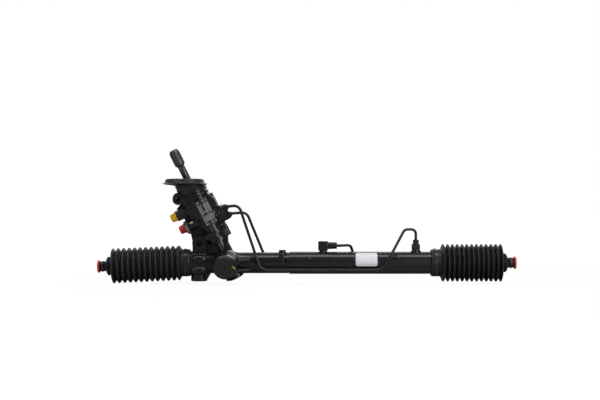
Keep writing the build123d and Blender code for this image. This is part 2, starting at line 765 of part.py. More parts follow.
def cross_pin(radius, half):
    """Bar square to the shaft through its head, from side to side."""
    return TOWER.location * Pos(0, 0, cross_pin_height) * Rot(0, 90, 0) * Cylinder(radius, 2 * half)


def cross_pin_hole():
    """Hole through the head for the pin that locks the torsion bar."""
    return cross_pin(CROSS_PIN + SEAT_GAP, SHAFT_HEAD + 1)


def torsion_bar():
    """Thin spring bar from the pinion to the head of the input shaft."""
    waist_top = cross_pin_height - TORSION_END - 2
    press = TORSION_BAR - SEAT_GAP
    return turned(TOWER, [
        (0, TORSION_BAR_LOW), (press, TORSION_BAR_LOW), (press, TORSION_BAR_LOW + TORSION_END),
        (TORSION_WAIST, TORSION_BAR_LOW + TORSION_END + 2), (TORSION_WAIST, waist_top), (press, waist_top + 2),
        (press, nose_tip - 1), (0, nose_tip - 1)]) - cross_pin_hole()


def torsion_pin():
    """Cross pin through the head and the torsion bar."""
    return cross_pin(CROSS_PIN, SHAFT_HEAD - CROSS_PIN_RECESS)


# ---------------------------------------------------------------- valve
def valve_sleeve():
    """Distributor sleeve with ring grooves, oil grooves and the drive counterbore."""
    radius = VALVE_BORE - 2 * SLIDE_FIT
    sleeve = tube(TOWER, radius, SLEEVE_INSIDE, cup_top, sleeve_top)
    sleeve -= rod(TOWER, SPIGOT_RADIUS + SEAT_GAP, cup_top - 1, cup_top + SPIGOT_HEIGHT + SEAT_GAP)
    rings = sleeve_ring_places()
    for low in rings:
        sleeve -= tube(TOWER, radius + 1, radius - RING_DEPTH, low, low + RING_WIDTH)
    for low, high in zip(rings, rings[1:]):
        start = (low + high + RING_WIDTH - OIL_GROOVE) / 2
        sleeve -= tube(TOWER, radius + 1, radius - OIL_GROOVE_DEPTH, start, start + OIL_GROOVE)
    return sleeve


def sleeve_ring_places():
    """Heights of the seal ring grooves, evenly spread along the sleeve."""
    first = cup_top + SLEEVE_RING_LOW
    last = sleeve_top - SLEEVE_RING_HIGH
    return [first + (last - first) * k / (SLEEVE_RINGS - 1) for k in range(SLEEVE_RINGS)]


def sleeve_rings():
    """Seal rings in the sleeve's grooves."""
    inner = VALVE_BORE - 2 * SLIDE_FIT - RING_DEPTH + SEAT_GAP
    return [tube(TOWER, VALVE_BORE - RUN_FIT, inner, low + SEAT_GAP, low + RING_WIDTH - SEAT_GAP)
            for low in sleeve_ring_places()]


def input_bearing():
    """Needle bearing round the input shaft's journal."""
    return tube(TOWER, VALVE_BORE - SEAT_GAP, SHAFT_JOURNAL + RUN_FIT, SHAFT_BEARING_LOW,
                SHAFT_BEARING_LOW + SHAFT_BEARING_WIDTH)


def input_seal():
    """Lip seal over the input bearing."""
    low = SHAFT_BEARING_LOW + SHAFT_BEARING_WIDTH + SEAT_GAP
    high = low + SHAFT_SEAL_WIDTH
    ring = tube(TOWER, VALVE_BORE - SEAT_GAP, SHAFT_JOURNAL + RUN_FIT, low, high)
    return ring - tube(TOWER, VALVE_BORE - SEAL_GROOVE_WALL, SHAFT_JOURNAL + RUBBER, low + 2, high + 1)


def valve_shell():
    """Turned outside of the valve casting: flange, neck, body and a ribbed collar under the seal."""
    step = BODY_STEP
    flange_top = gasket_top + VALVE_FLANGE
    shell = turned(TOWER, [
        (0, gasket_top), (FLANGE_RADIUS, gasket_top), (FLANGE_RADIUS, flange_top), (VALVE_NECK_RADIUS, flange_top),
        (VALVE_NECK_RADIUS, VALVE_NECK_TOP), (VALVE_BODY_RADIUS, VALVE_NECK_TOP + step),
        (VALVE_BODY_RADIUS, VALVE_BODY_TOP - step), (RIBBED_RADIUS, VALVE_BODY_TOP), (RIBBED_RADIUS, RIBBED_TOP),
        (SEAL_SEAT_RADIUS, RIBBED_TOP), (SEAL_SEAT_RADIUS, VALVE_TOP), (0, VALVE_TOP)])
    for k in range(RIB_COUNT):
        low = RIBBED_TOP - (k + 1) * RIB_PITCH
        shell -= tube(TOWER, RIBBED_RADIUS + 1, RIBBED_RADIUS - RIB_DEPTH, low, low + RIB_GROOVE)
    return shell


def valve_facets():
    """Flat-faced front of the valve casting and the plain cover up its left side."""
    outline = [
        (-FACET_LEFT, FACET_BACK), (-FACET_LEFT, -FACET_LEFT_FRONT), (-FACET_EDGE, -FACET_EDGE_FRONT),
        (FACET_RIGHT, -FACET_RIGHT_FRONT), (FACET_RIGHT, FACET_BACK)]
    front = prism(TOWER, outline, VALVE_NECK_TOP - 1, VALVE_BODY_TOP)
    front = chamfer(front.faces().sort_by(lambda f: TOWER.to_local_coords(f.center()).Z)[0].edges(), FACET_ROUND)
    cover = [
        (-COVER_LEFT, FACET_BACK), (-COVER_LEFT, -FACET_LEFT_FRONT), (-FACET_EDGE, -FACET_EDGE_FRONT + FACET_ROUND),
        (-FACET_EDGE, FACET_BACK)]
    return front + prism(TOWER, cover, VALVE_BODY_TOP + FACET_ROUND, RIBBED_TOP)


def facet_plane(height):
    """Plane on the casting's right front face at a height up the pinion axis."""
    run = FACET_RIGHT + FACET_EDGE
    drop = FACET_EDGE_FRONT - FACET_RIGHT_FRONT
    size = sqrt(run * run + drop * drop)
    middle = (FACET_RIGHT - FACET_EDGE) / 2
    front = (FACET_EDGE_FRONT + FACET_RIGHT_FRONT) / 2
    return on_tower(middle, -front, height, (drop / size, -run / size))


def window_pad():
    """Raised frame with a shallow window, on the right front face."""
    plane = facet_plane(WINDOW_HEIGHT)
    frame = extrude(RectangleRounded(WINDOW_LONG, WINDOW_WIDE, PAD_ROUND), PAD_PROUD)
    inside = RectangleRounded(WINDOW_LONG - 2 * WINDOW_RIM, WINDOW_WIDE - 2 * WINDOW_RIM, PAD_ROUND / 2)
    return plane.location * (frame - extrude(inside, PAD_PROUD))


def plain_pad():
    """Raised square pad below the window."""
    plane = facet_plane(PAD_HEIGHT)
    return plane.location * extrude(RectangleRounded(PAD_SIDE, PAD_SIDE, PAD_ROUND / 2), PAD_PROUD)


def shoulder():
    """Sloping lug on the casting's right side with a bolt boss on top."""
    outline = [
        (0, VALVE_BODY_TOP), (RIBBED_RADIUS, VALVE_BODY_TOP + RIB_PITCH), (SHOULDER_REACH, SHOULDER_HIGH),
        (SHOULDER_REACH, SHOULDER_LOW), (0, SHOULDER_LOW)]
    across = Plane(origin=TOWER.origin, x_dir=TOWER.x_dir, z_dir=TOWER.y_dir * -1)
    lug = prism(across, outline, -SHOULDER_BACK, SHOULDER_FRONT)
    top = SHOULDER_HIGH + SHOULDER_BOLT_HEIGHT
    return lug + rod(TOWER, SHOULDER_BOLT, SHOULDER_LOW + 2, top, SHOULDER_REACH - SHOULDER_BOLT, FACET_BACK)


def knob():
    """Round boss on the left of the cover, hollow towards the front."""
    plane = on_tower(-KNOB_REACH, 0, KNOB_HEIGHT, (0, -1))
    boss = rod(plane, KNOB_RADIUS, -KNOB_BACK, KNOB_FRONT)
    boss += rod(plane, KNOB_HOLE + 2, KNOB_FRONT, KNOB_FRONT + PAD_PROUD)
    return boss - rod(plane, KNOB_HOLE, KNOB_FRONT - KNOB_HOLE_DEPTH, KNOB_FRONT + 2)


def flange(low, high):
    """Round flange with a lug on each side for its bolts."""
    plate = rod(TOWER, FLANGE_RADIUS, low, high)
    for across, back, radius in bolt_lugs():
        plate += rod(TOWER, radius, low, high, across, back)
        plate += block(TOWER, abs(across), 2 * radius, low, high, across / 2, back)
    return plate


def bolt_lugs():
    """Place and radius of each flange lug."""
    return [(RIGHT_LUG, 0.0, LUG_RADIUS), (-LEFT_LUG, LEFT_LUG_BACK, LEFT_LUG_RADIUS)]


PRESSURE_PORT = on_tower(0, -PRESSURE_PORT_FRONT, PRESSURE_PORT_HEIGHT, (-1, 0))
RETURN_PORT = on_tower(0, -RETURN_PORT_FRONT, RETURN_PORT_HEIGHT, (-1, 0))
PIPE_BLOCK = on_tower(0, 0, PIPE_BLOCK_HEIGHT, (1, 0))
BODY_PLUG = on_tower(-BODY_PLUG_REACH, -RETURN_PORT_FRONT, BODY_PLUG_HEIGHT, (0, -1))


def port_ends():
    """Plane of each port with the reach of its boss."""
    return [(PRESSURE_PORT, PRESSURE_PORT_END - PRESSURE_FITTING), (RETURN_PORT, RETURN_PORT_END - RETURN_FITTING)]


def pipe_block():
    """Rounded block on the right side that takes both pipes."""
    body = block(PIPE_BLOCK, PIPE_BLOCK_LONG, PIPE_BLOCK_DEEP, 0, PIPE_BLOCK_FACE - FREE_GAP)
    along = body.edges().filter_by(lambda e: abs(abs((e % 0.5).dot(TOWER.x_dir)) - 1) < 0.01)
    return fillet(along, PIPE_BLOCK_ROUND)


def valve_housing():
    """Casting round the rotary valve, with two port bosses, a pipe block and the flange."""
    shell = valve_shell() + flange(gasket_top, bolt_seat) + valve_facets() + shoulder() + knob() + pipe_block()
    shell += window_pad() + plain_pad()
    shell += rod(TOWER, SPINE_RADIUS, bolt_seat, VALVE_NECK_TOP + 2, 0, -SPINE_OUT)
    for plane, reach in port_ends():
        shell += rod(plane, PORT_BOSS_RADIUS, 0, reach)
    pocket = on_tower(FACET_RIGHT / 2, -FACET_RIGHT_FRONT, POCKET_HEIGHT, (0.5, -0.86))
    shell -= rod(pocket, POCKET_RADIUS, -POCKET_DEPTH / 2, POCKET_DEPTH * 2)
    seal_zone = RIBBED_TOP - FREE_GAP
    shell -= tube(TOWER, SEAL_SEAT_RADIUS + SEAL_WALL + 2, SEAL_SEAT_RADIUS, seal_zone, VALVE_TOP + KNOB_RADIUS)
    return shell - valve_bores()


def valve_bores():
    """Every hole of the valve casting."""
    seal_top = SHAFT_BEARING_LOW + SHAFT_BEARING_WIDTH + SHAFT_SEAL_WIDTH + 1
    holes = [rod(TOWER, VALVE_BORE, gasket_top - 1, seal_top)]
    holes.append(rod(TOWER, VALVE_BORE - SEAL_GROOVE_WALL, gasket_top, VALVE_TOP + 1))
    for plane, reach in port_ends():
        holes.append(rod(plane, PORT_BORE, VALVE_BORE - 2, reach + 1))
    for side in (PIPE_SPACING / 2, -PIPE_SPACING / 2):
        holes.append(rod(PIPE_BLOCK, PORT_HOLE, VALVE_BORE - 2, PIPE_BLOCK_FACE + 1, side))
    for across, back, radius in bolt_lugs():
        holes.append(rod(TOWER, BOLT_RADIUS + SEAT_GAP, gasket_top - 1, bolt_seat + 1, across, back))
        holes.append(rod(TOWER, radius, bolt_seat, bolt_seat + BOLT_HEAD_HEIGHT + BOLT_HEAD, across, back))
    holes.append(rod(BODY_PLUG, BODY_PLUG_RADIUS + SEAT_GAP, PORT_BORE + 1, PORT_BOSS_RADIUS + VALVE_FLANGE))
    return holes


# ---------------------------------------------------------------- pinion housing
def housing_block():
    """Squarish block over the left rack bush with a rim at each end."""
    length = BLOCK_RIGHT - CASTING_LEFT
    middle = (BLOCK_RIGHT + CASTING_LEFT) / 2
    body = Pos(middle, 0, 0) * Box(length, 2 * BLOCK_HALF, 2 * BLOCK_HALF)
    body = fillet(body.edges().filter_by(Axis.X), BLOCK_ROUND)
    side = 2 * (BLOCK_HALF + RIM_PROUD)
    for x in (CASTING_LEFT + RIM_WIDTH / 2, BLOCK_RIGHT - RIM_WIDTH / 2):
        rim = Pos(x, 0, 0) * Box(RIM_WIDTH, side, side)
        body += fillet(rim.edges().filter_by(Axis.X), BLOCK_ROUND)
    return body


def housing_foot():
    """Round mounting boss that stands down from the block, tapered, with a web towards the tower."""
    foot = turned(upright(FOOT_X), [
        (0, FOOT_BOTTOM), (FOOT_RADIUS - RACK_CHAMFER, FOOT_BOTTOM), (FOOT_RADIUS, FOOT_BOTTOM + RACK_CHAMFER),
        (FOOT_ROOT_RADIUS, -BLOCK_HALF), (FOOT_ROOT_RADIUS, 0), (0, 0)])
    right = FOOT_X + FOOT_RADIUS
    web = side_prism([(FOOT_X, FOOT_BOTTOM + RACK_CHAMFER), (right - RACK_CHAMFER, FOOT_BOTTOM + RACK_CHAMFER),
                      (PINION_X - FOOT_WEB_REACH, -BLOCK_HALF), (PINION_X - FOOT_WEB_REACH, -CORE_HALF + 2),
                      (FOOT_X, -CORE_HALF + 2)], -FOOT_WEB_HALF, FOOT_WEB_HALF)
    return foot + web


def housing_eye():
    """Mounting eye above the block, on a leg that stands on the block's flat top."""
    eye = rod(toward_viewer(EYE_X, EYE_Z), EYE_RADIUS, -EYE_BACK, -EYE_FRONT)
    left, right, foot = EYE_X - EYE_RADIUS, EYE_X + EYE_RADIUS, BLOCK_HALF - RIM_PROUD
    leg = side_prism([(left, foot), (left, EYE_Z), (right, EYE_Z), (right, foot)], EYE_FRONT + BLOCK_ROUND, EYE_BACK)
    return eye + leg


def housing_web():
    """Web that fills the corner between the block and the left side of the tower."""
    left = EYE_X - EYE_RADIUS
    web = side_prism([(left, 0), (left, EYE_Z), (left + LUG_RADIUS, WEB_TOP), (PINION_X, WEB_TOP), (PINION_X, 0)],
                     -WEB_FRONT, WEB_BACK)
    return web - rod(TOWER, FLANGE_CUT, FLANGE_SPLIT, FLANGE_SPLIT + FLANGE_CUT)


def housing_riblets():
    """Two short upright ribs between the eye and the tower."""
    ribs = Part()
    for k in range(2):
        x = PINION_X - RIBLET_REACH + k * RIBLET_STEP
        ribs += side_prism([(x, 0), (x, RIBLET_TOP), (x + RIBLET_THICK, RIBLET_TOP), (x + RIBLET_THICK, 0)],
                           -RIBLET_FRONT, 0)
    return ribs


def housing_tower():
    """Round tower on the pinion axis with its lower boss, flange and oil gallery."""
    low = CAP_BOTTOM + CAP_DISC
    tower = rod(TOWER, TOWER_RADIUS, low, FLANGE_SPLIT) + rod(TOWER, LOWER_BOSS_RADIUS, low, LOWER_BOSS_TOP)
    tower += rod(TOWER, GALLERY_RADIUS, GALLERY_LOW, GALLERY_HIGH, 0, -GALLERY_OUT)
    return tower + flange(FLANGE_SPLIT - TOWER_FLANGE, FLANGE_SPLIT)


def tower_corner():
    """Rounded gusset where the right side of the tower runs down on to the rack tube."""
    side = TOWER.origin + TOWER.x_dir * TOWER_RADIUS * cos(radians(PINION_ANGLE))
    climb = (CASTING_TUBE - side.Z) / up_shaft.Z
    corner = side + up_shaft * climb
    run = CORNER_ROUND * tan(radians(90 - PINION_ANGLE) / 2)
    above = corner + up_shaft * run
    beyond = Vector(corner.X + run, 0, CASTING_TUBE)
    inside = Vector(corner.X - CASTING_TUBE, 0, 0)
    centre = Vector(beyond.X, 0, CASTING_TUBE + CORNER_ROUND)
    toward = Vector(corner.X - centre.X, 0, corner.Z - centre.Z).normalized()
    deepest = centre + toward * CORNER_ROUND
    edges = [Line((inside.X, inside.Z), (inside.X, above.Z)), Line((inside.X, above.Z), (above.X, above.Z)),
             ThreePointArc((above.X, above.Z), (deepest.X, deepest.Z), (beyond.X, beyond.Z)),
             Line((beyond.X, beyond.Z), (beyond.X, inside.Z)), Line((beyond.X, inside.Z), (inside.X, inside.Z))]
    face = Plane.XZ * make_face(edges)
    return Pos(0, CORNER_BACK, 0) * extrude(face, CORNER_BACK + CORNER_FRONT)


def housing_yoke_boss():
    """Boss that holds the spring-loaded yoke, flared where it leaves the casting."""
    return turned(YOKE, [
        (0, 0), (YOKE_BOSS_ROOT, 0), (YOKE_BOSS_ROOT, CASTING_TUBE), (YOKE_BOSS_RADIUS, YOKE_BOSS_FLARE),
        (YOKE_BOSS_RADIUS, YOKE_BOSS_REACH - YOKE_BOSS_CHAMFER),
        (YOKE_BOSS_RADIUS - YOKE_BOSS_CHAMFER, YOKE_BOSS_REACH), (0, YOKE_BOSS_REACH)])


def fin(middle, root_half, tip_half):
    """Tapered fin from the yoke boss on to the front of the rack tube."""
    root_x, tip_x = PINION_X + FIN_ROOT_REACH, PINION_X + FIN_TIP_REACH
    root_z = middle if middle > 0 else middle - 1
    side = make_face(Polyline((root_x, root_z - root_half), (tip_x, middle - tip_half), (tip_x, middle + tip_half),
                              (root_x, root_z + root_half), close=True))
    body = Plane.XZ * extrude(side, FIN_FRONT)
    top = make_face(Polyline((root_x, -FIN_FRONT), (tip_x, -FIN_TIP_FRONT), (tip_x, 0), (root_x, 0), close=True))
    return body & (Pos(0, 0, -CASTING_TUBE) * extrude(top, 2 * CASTING_TUBE))


def housing_core():
    """Solid core where the tower, the block and the rack tube run together."""
    core = Pos(PINION_X - CORE_SHIFT, FACET_BACK, 0) * Box(CORE_LENGTH, 2 * CORE_HALF, 2 * CORE_HALF)
    return fillet(core.edges().filter_by(Axis.X), BLOCK_ROUND)


def housing_stub():
    """Blind round stub on top of the rack tube."""
    x = PINION_X + STUB_REACH
    return rod(upright(x), STUB_RADIUS, 0, STUB_TOP) + rod(upright(x), STUB_FOOT_RADIUS, 0, STUB_FOOT_TOP)


def parting_ridge():
    """Raised parting line along the front of the rack tube."""
    middle = PINION_X + PARTING_REACH + PARTING_LENGTH / 2
    return Pos(middle, -CASTING_TUBE, PARTING_Z) * Box(PARTING_LENGTH, PARTING_THICK, PARTING_THICK)


def end_slot():
    """Short upright slot in the front of the rack tube, near the barrel."""
    ring = tube(RACK, CASTING_TUBE + 1, CASTING_TUBE - SLOT_DEPTH, PINION_X + SLOT_REACH,
                PINION_X + SLOT_REACH + SLOT_WIDTH)
    middle = Pos(PINION_X + SLOT_REACH, -CASTING_TUBE, (SLOT_LOW + SLOT_HIGH) / 2)
    return ring & (middle * Box(4 * SLOT_WIDTH, 2 * CASTING_TUBE, SLOT_HIGH - SLOT_LOW))


def pinion_housing():
    """The main casting: rack tube, block, foot, eye, yoke boss and pinion tower, bored out."""
    body = rod(RACK, CASTING_TUBE, BLOCK_RIGHT, CASTING_END)
    body += rod(RACK, BOOT_SEAT_RADIUS, CASTING_LEFT - BOOT_SEAT_LENGTH, CASTING_LEFT)
    for form in (housing_block(), housing_core(), housing_yoke_boss(), housing_foot(), housing_web(), housing_eye(),
                 housing_tower(), tower_corner(), housing_stub(), parting_ridge(),
                 fin(UPPER_FIN_Z, UPPER_FIN_HALF, UPPER_FIN_TIP), fin(LOWER_FIN_Z, LOWER_FIN_HALF, LOWER_FIN_HALF)):
        body += form
    body += housing_riblets()
    for hole in housing_bores():
        body -= hole
    return body - flange_room()


def flange_room():
    """Room above the joint face for the valve casting's flange and its bolt heads."""
    top = bolt_seat + BOLT_HEAD_HEIGHT
    room = rod(TOWER, FLANGE_RADIUS + FREE_GAP, FLANGE_SPLIT, top)
    for across, back, radius in bolt_lugs():
        room += rod(TOWER, radius + FREE_GAP, FLANGE_SPLIT, top, across, back)
        room += block(TOWER, abs(across), 2 * (radius + FREE_GAP), FLANGE_SPLIT, top, across / 2, back)
    return room


def housing_bores():
    """Every hole of the main casting."""
    holes = [rod(RACK, RACK_BORE, CASTING_LEFT - BOOT_SEAT_LENGTH - 1, CASTING_END + 1), pinion_bore()]
    holes.append(rod(YOKE, YOKE_RADIUS + YOKE_LINER + SLIDE_FIT, 0, YOKE_BOSS_REACH + 1))
    eye = toward_viewer(EYE_X, EYE_Z)
    holes.append(rod(eye, EYE_HOLE, -EYE_FRONT - EYE_DEPTH - EYE_MOUTH_DEPTH, -EYE_FRONT + 1))
    holes.append(rod(eye, EYE_MOUTH, -EYE_FRONT - EYE_MOUTH_DEPTH, -EYE_FRONT + 1))
    holes.append(rod(upright(FOOT_X), FOOT_THREAD, FOOT_BOTTOM - 1, FOOT_BOTTOM + FOOT_THREAD_DEPTH))
    start = CASTING_LEFT - BOOT_SEAT_LENGTH
    holes.append(rod(RACK, bush_radius(), start - 1, start + BUSH_LENGTH))
    for across, back, radius in bolt_lugs():
        holes.append(rod(TOWER, BOLT_RADIUS + SEAT_GAP, bolt_seat - BOLT_DEPTH - 1, FLANGE_SPLIT + 1, across, back))
    holes.append(end_slot())
    return holes


def pinion_bore():
    """Stepped bore for the pinion, its bearings and its cap."""
    low = CAP_BOTTOM + CAP_DISC - 1
    needle_outer = JOURNAL_RADIUS + NEEDLE_WALL
    needle_top = NEEDLE_LOW + NEEDLE_WIDTH
    bearing_top = BEARING_LOW + BEARING_WIDTH
    gear = PINION_TIP_RADIUS + PINION_CLEARANCE
    return turned(TOWER, [
        (0, low), (BEARING_OUTER, low), (BEARING_OUTER, bearing_top), (gear, bearing_top), (gear, NEEDLE_LOW),
        (needle_outer, NEEDLE_LOW), (needle_outer, needle_top), (TOWER_BORE, needle_top),
        (TOWER_BORE, FLANGE_SPLIT + 1), (0, FLANGE_SPLIT + 1)])


def bush_radius():
    """Outside radius of the rack bush's pocket."""
    return RACK_RADIUS + RUN_FIT + BUSH_WALL


def rack_bush():
    """Plain bush that guides the left end of the rack."""
    start = CASTING_LEFT - BOOT_SEAT_LENGTH
    return tube(RACK, bush_radius() - SEAT_GAP, RACK_RADIUS + RUN_FIT, start, start + BUSH_LENGTH)


def flange_gasket():
    """Sealing ring between the two castings."""
    return tube(TOWER, GASKET_RADIUS, VALVE_BORE + 1, FLANGE_SPLIT, gasket_top)


def flange_bolts():
    """Two long-headed bolts that hold the valve casting on the tower."""
    bolts = []
    for across, back, radius in bolt_lugs():
        shank = rod(TOWER, BOLT_RADIUS, bolt_seat - BOLT_DEPTH, bolt_seat, across, back)
        washer = rod(TOWER, BOLT_HEAD + PAD_PROUD / 2, bolt_seat, bolt_seat + PAD_PROUD, across, back)
        head = rod(TOWER, BOLT_HEAD, bolt_seat, bolt_seat + BOLT_HEAD_HEIGHT, across, back)
        bolts.append(shank + washer + head)
    return bolts


# ---------------------------------------------------------------- yoke
def yoke():
    """Round plunger with a saddle that bears on the back of the rack."""
    body = rod(YOKE, YOKE_RADIUS, YOKE_LOW, YOKE_LOW + YOKE_LENGTH)
    half = YOKE_LINER_HALF
    bed = rod(RACK, RACK_RADIUS + RUN_FIT + YOKE_LINER, PINION_X - half, PINION_X + half)
    return body - bed - rod(YOKE, YOKE_POCKET, yoke_pocket_floor, YOKE_LOW + YOKE_LENGTH + 1)


def yoke_liner():
    """Thin slide shell between the yoke and the rack."""
    outer = RACK_RADIUS + RUN_FIT + YOKE_LINER - SEAT_GAP
    ring = tube(RACK, outer, RACK_RADIUS + RUN_FIT, PINION_X - YOKE_LINER_HALF, PINION_X + YOKE_LINER_HALF)
    return ring & rod(YOKE, YOKE_RADIUS - YOKE_LOW, YOKE_LOW, YOKE_LOW + YOKE_LENGTH)


def yoke_spring():
    """Coil spring behind the yoke."""
    clear = YOKE_SPRING_WIRE / 2 + SLIDE_FIT
    low = yoke_pocket_floor + clear
    high = yoke_plug_face - YOKE_PLUG_LENGTH + YOKE_PLUG_POCKET - clear
    coil = Helix(pitch=(high - low) / YOKE_SPRING_TURNS, height=high - low, radius=YOKE_SPRING_RADIUS)
    wire = sweep(Plane(origin=coil @ 0, z_dir=coil % 0) * Circle(YOKE_SPRING_WIRE / 2), path=coil)
    return YOKE.location * Pos(0, 0, low) * wire


def yoke_plug():
    """Threaded plug that sets the yoke's play, with a ring and a socket for its key."""
    low = yoke_plug_face - YOKE_PLUG_LENGTH
    plug = rod(YOKE, YOKE_RADIUS + YOKE_LINER, low, yoke_plug_face)
    plug -= rod(YOKE, YOKE_POCKET, low - 1, low + YOKE_PLUG_POCKET)
    plug -= tube(YOKE, YOKE_PLUG_RING + 1, YOKE_PLUG_RING - 1, yoke_plug_face - 1.2, yoke_plug_face + 1)
    return plug - hexagon(YOKE, YOKE_PLUG_KEY, yoke_plug_face - YOKE_PLUG_KEY_DEPTH, yoke_plug_face + 1)


def yoke_locknut():
    """Ring nut that locks the yoke plug."""
    inner = YOKE_RADIUS + YOKE_LINER + SEAT_GAP
    outer = inner + LOCKNUT_WALL
    top = YOKE_BOSS_REACH + LOCKNUT_HEIGHT
    return turned(YOKE, [(inner, YOKE_BOSS_REACH), (outer, YOKE_BOSS_REACH), (outer, top - 1), (outer - 1, top),
                         (inner, top)])


# ---------------------------------------------------------------- cylinder
def cylinder_tube():
    """Steel cylinder barrel with a groove beside the casting and a boot seat at its far end."""
    neck_end = CASTING_END + BARREL_NECK
    far = RIGHT_FOLDS_X - 1
    barrel = tube(RACK, TUBE_RADIUS, CYLINDER_BORE, neck_end, far)
    barrel += tube(RACK, TUBE_RADIUS - BARREL_NECK_STEP, CYLINDER_BORE, CASTING_END, neck_end + 1)
    barrel += tube(RACK, BOOT_SEAT_RADIUS, CYLINDER_BORE, RIGHT_COLLAR_X + 1, far)
    barrel -= rod(upright(elbow_neck_x()), PORT_HOLE, 0, TUBE_RADIUS + 1)
    return barrel - rod(upright(OUTLET_X), PORT_HOLE, 0, TUBE_RADIUS + 1)


def inner_seal_carrier():
    """Ring in the casting end of the barrel that carries the inner rack seal."""
    low = CASTING_END + SEAT_GAP
    high = low + CARRIER_LENGTH
    carrier = tube(RACK, CYLINDER_BORE - SEAT_GAP, RACK_RADIUS + FREE_GAP, low, high)
    return carrier - rod(RACK, CYLINDER_BORE - SEAL_GROOVE_WALL, high - INNER_SEAL_LENGTH, high + 1)


def inner_rack_seal():
    """Lip seal on the rack at the casting end of the barrel."""
    high = CASTING_END + SEAT_GAP + CARRIER_LENGTH
    outer = CYLINDER_BORE - SEAL_GROOVE_WALL - SEAT_GAP
    return tube(RACK, outer, RACK_RADIUS + RUN_FIT, high - INNER_SEAL_LENGTH + SEAT_GAP, high)


def end_gland():
    """Bush that closes the far end of the barrel and guides the rack."""
    high = RIGHT_FOLDS_X - GLAND_SETBACK
    low = high - GLAND_LENGTH
    gland = tube(RACK, CYLINDER_BORE - SEAT_GAP, RACK_RADIUS + RUN_FIT, low, high)
    return gland - rod(RACK, CYLINDER_BORE - SEAL_GROOVE_WALL, low - 1, low + OUTER_SEAL_LENGTH)


def outer_rack_seal():
    """Lip seal in the end gland."""
    low = RIGHT_FOLDS_X - GLAND_SETBACK - GLAND_LENGTH
    outer = CYLINDER_BORE - SEAL_GROOVE_WALL - SEAT_GAP
    return tube(RACK, outer, RACK_RADIUS + RUN_FIT, low, low + OUTER_SEAL_LENGTH - SEAT_GAP)


# ---------------------------------------------------------------- unions and pipes
def saddle(radius, low, high, x):
    """Short round foot that fits a union to the barrel's curved top."""
    foot = rod(upright(x), radius, low, high)
    return foot - rod(RACK, TUBE_RADIUS + SEAT_GAP, x - 2 * TUBE_RADIUS, x + 2 * TUBE_RADIUS)


def outlet_union():
    """Hexagonal union on a welded round foot at the far end of the barrel."""
    body = saddle(UNION_RADIUS, TUBE_RADIUS / 2, UNION_FOOT, OUTLET_X)
    body += saddle(WELD_RADIUS, TUBE_RADIUS / 2, TUBE_RADIUS + WELD_HEIGHT, OUTLET_X)
    plane = upright(OUTLET_X)
    body += hexagon(plane, UNION_ACROSS, UNION_FOOT, UNION_TOP - 1)
    body += rod(plane, UNION_ACROSS / 2 - 1, UNION_TOP - 1, UNION_TOP)
    return body - rod(plane, PORT_HOLE, 0, UNION_TOP + 1)


def outlet_nut():
    """Hexagon union nut where the long pipe enters."""
    plane = upright(OUTLET_X)
    top = UNION_TOP + UNION_NUT_HEIGHT
    nut = hexagon(plane, UNION_NUT_ACROSS, UNION_TOP, top)
    return nut - rod(plane, PIPE_RADIUS + SEAT_GAP, UNION_TOP - 1, top + 1)


def elbow_neck_x():
    """Place of the elbow's neck along the rack."""
    return (ELBOW_LEFT + ELBOW_STEP) / 2


def inlet_elbow():
    """Elbow block on the barrel that takes the short pipe from the side."""
    depth = ELBOW_HIGH - ELBOW_LOW
    middle = (ELBOW_LOW + ELBOW_HIGH) / 2
    big = Pos(elbow_neck_x(), 0, middle) * Box(ELBOW_STEP - ELBOW_LEFT, depth, depth)
    big = fillet(big.edges(), ELBOW_ROUND)
    small = rod(ELBOW, depth / 2 - ELBOW_ROUND, ELBOW_STEP - ELBOW_ROUND, ELBOW_RIGHT)
    neck = saddle((ELBOW_STEP - ELBOW_LEFT) / 2 - ELBOW_ROUND, TUBE_RADIUS / 2, middle, elbow_neck_x())
    body = big + small + neck - rod(upright(elbow_neck_x()), PORT_HOLE, 0, middle)
    return body - rod(ELBOW, PORT_HOLE, elbow_neck_x(), ELBOW_RIGHT + 1)


def inlet_nut():
    """Hexagon union nut where the short pipe enters the elbow."""
    end = ELBOW_RIGHT + ELBOW_NUT_LENGTH
    nut = hexagon(ELBOW, ELBOW_NUT_ACROSS, ELBOW_RIGHT, end)
    return nut - rod(ELBOW, PIPE_RADIUS + SEAT_GAP, ELBOW_RIGHT - 1, end + 1)


def block_exit(side, reach):
    """Place on one of the pipe block's two lines, at a reach from the pinion axis."""
    return (PIPE_BLOCK.location * Pos(side * PIPE_SPACING / 2, 0, reach)).position


def long_pipe():
    """Front pipe from the valve to the far end of the barrel."""
    points = [
        block_exit(1, PIPE_BLOCK_FACE), block_exit(1, PIPE_BLOCK_FACE + PIPE_PLATE + PIPE_LEAD),
        at(LONG_TOP_REACH, LONG_TOP_Y, LONG_TOP_Z), at(LONG_KNEE_REACH, LONG_RUN_Y, LONG_KNEE_Z),
        at(LONG_RUN_REACH, LONG_RUN_Y, LONG_RUN_Z), at(ARCH_START_REACH, LONG_RUN_Y, LONG_RUN_Z),
        at(ARCH_KNEE_REACH, LONG_RUN_Y, ARCH_KNEE_Z), at(ARCH_TOP_REACH, ARCH_TOP_Y, ARCH_TOP_Z),
        Vector(OUTLET_X, 0, ARCH_TOP_Z), Vector(OUTLET_X, 0, UNION_TOP)]
    return pipe_along(points, LONG_BENDS, PIPE_RADIUS, PIPE_BORE)


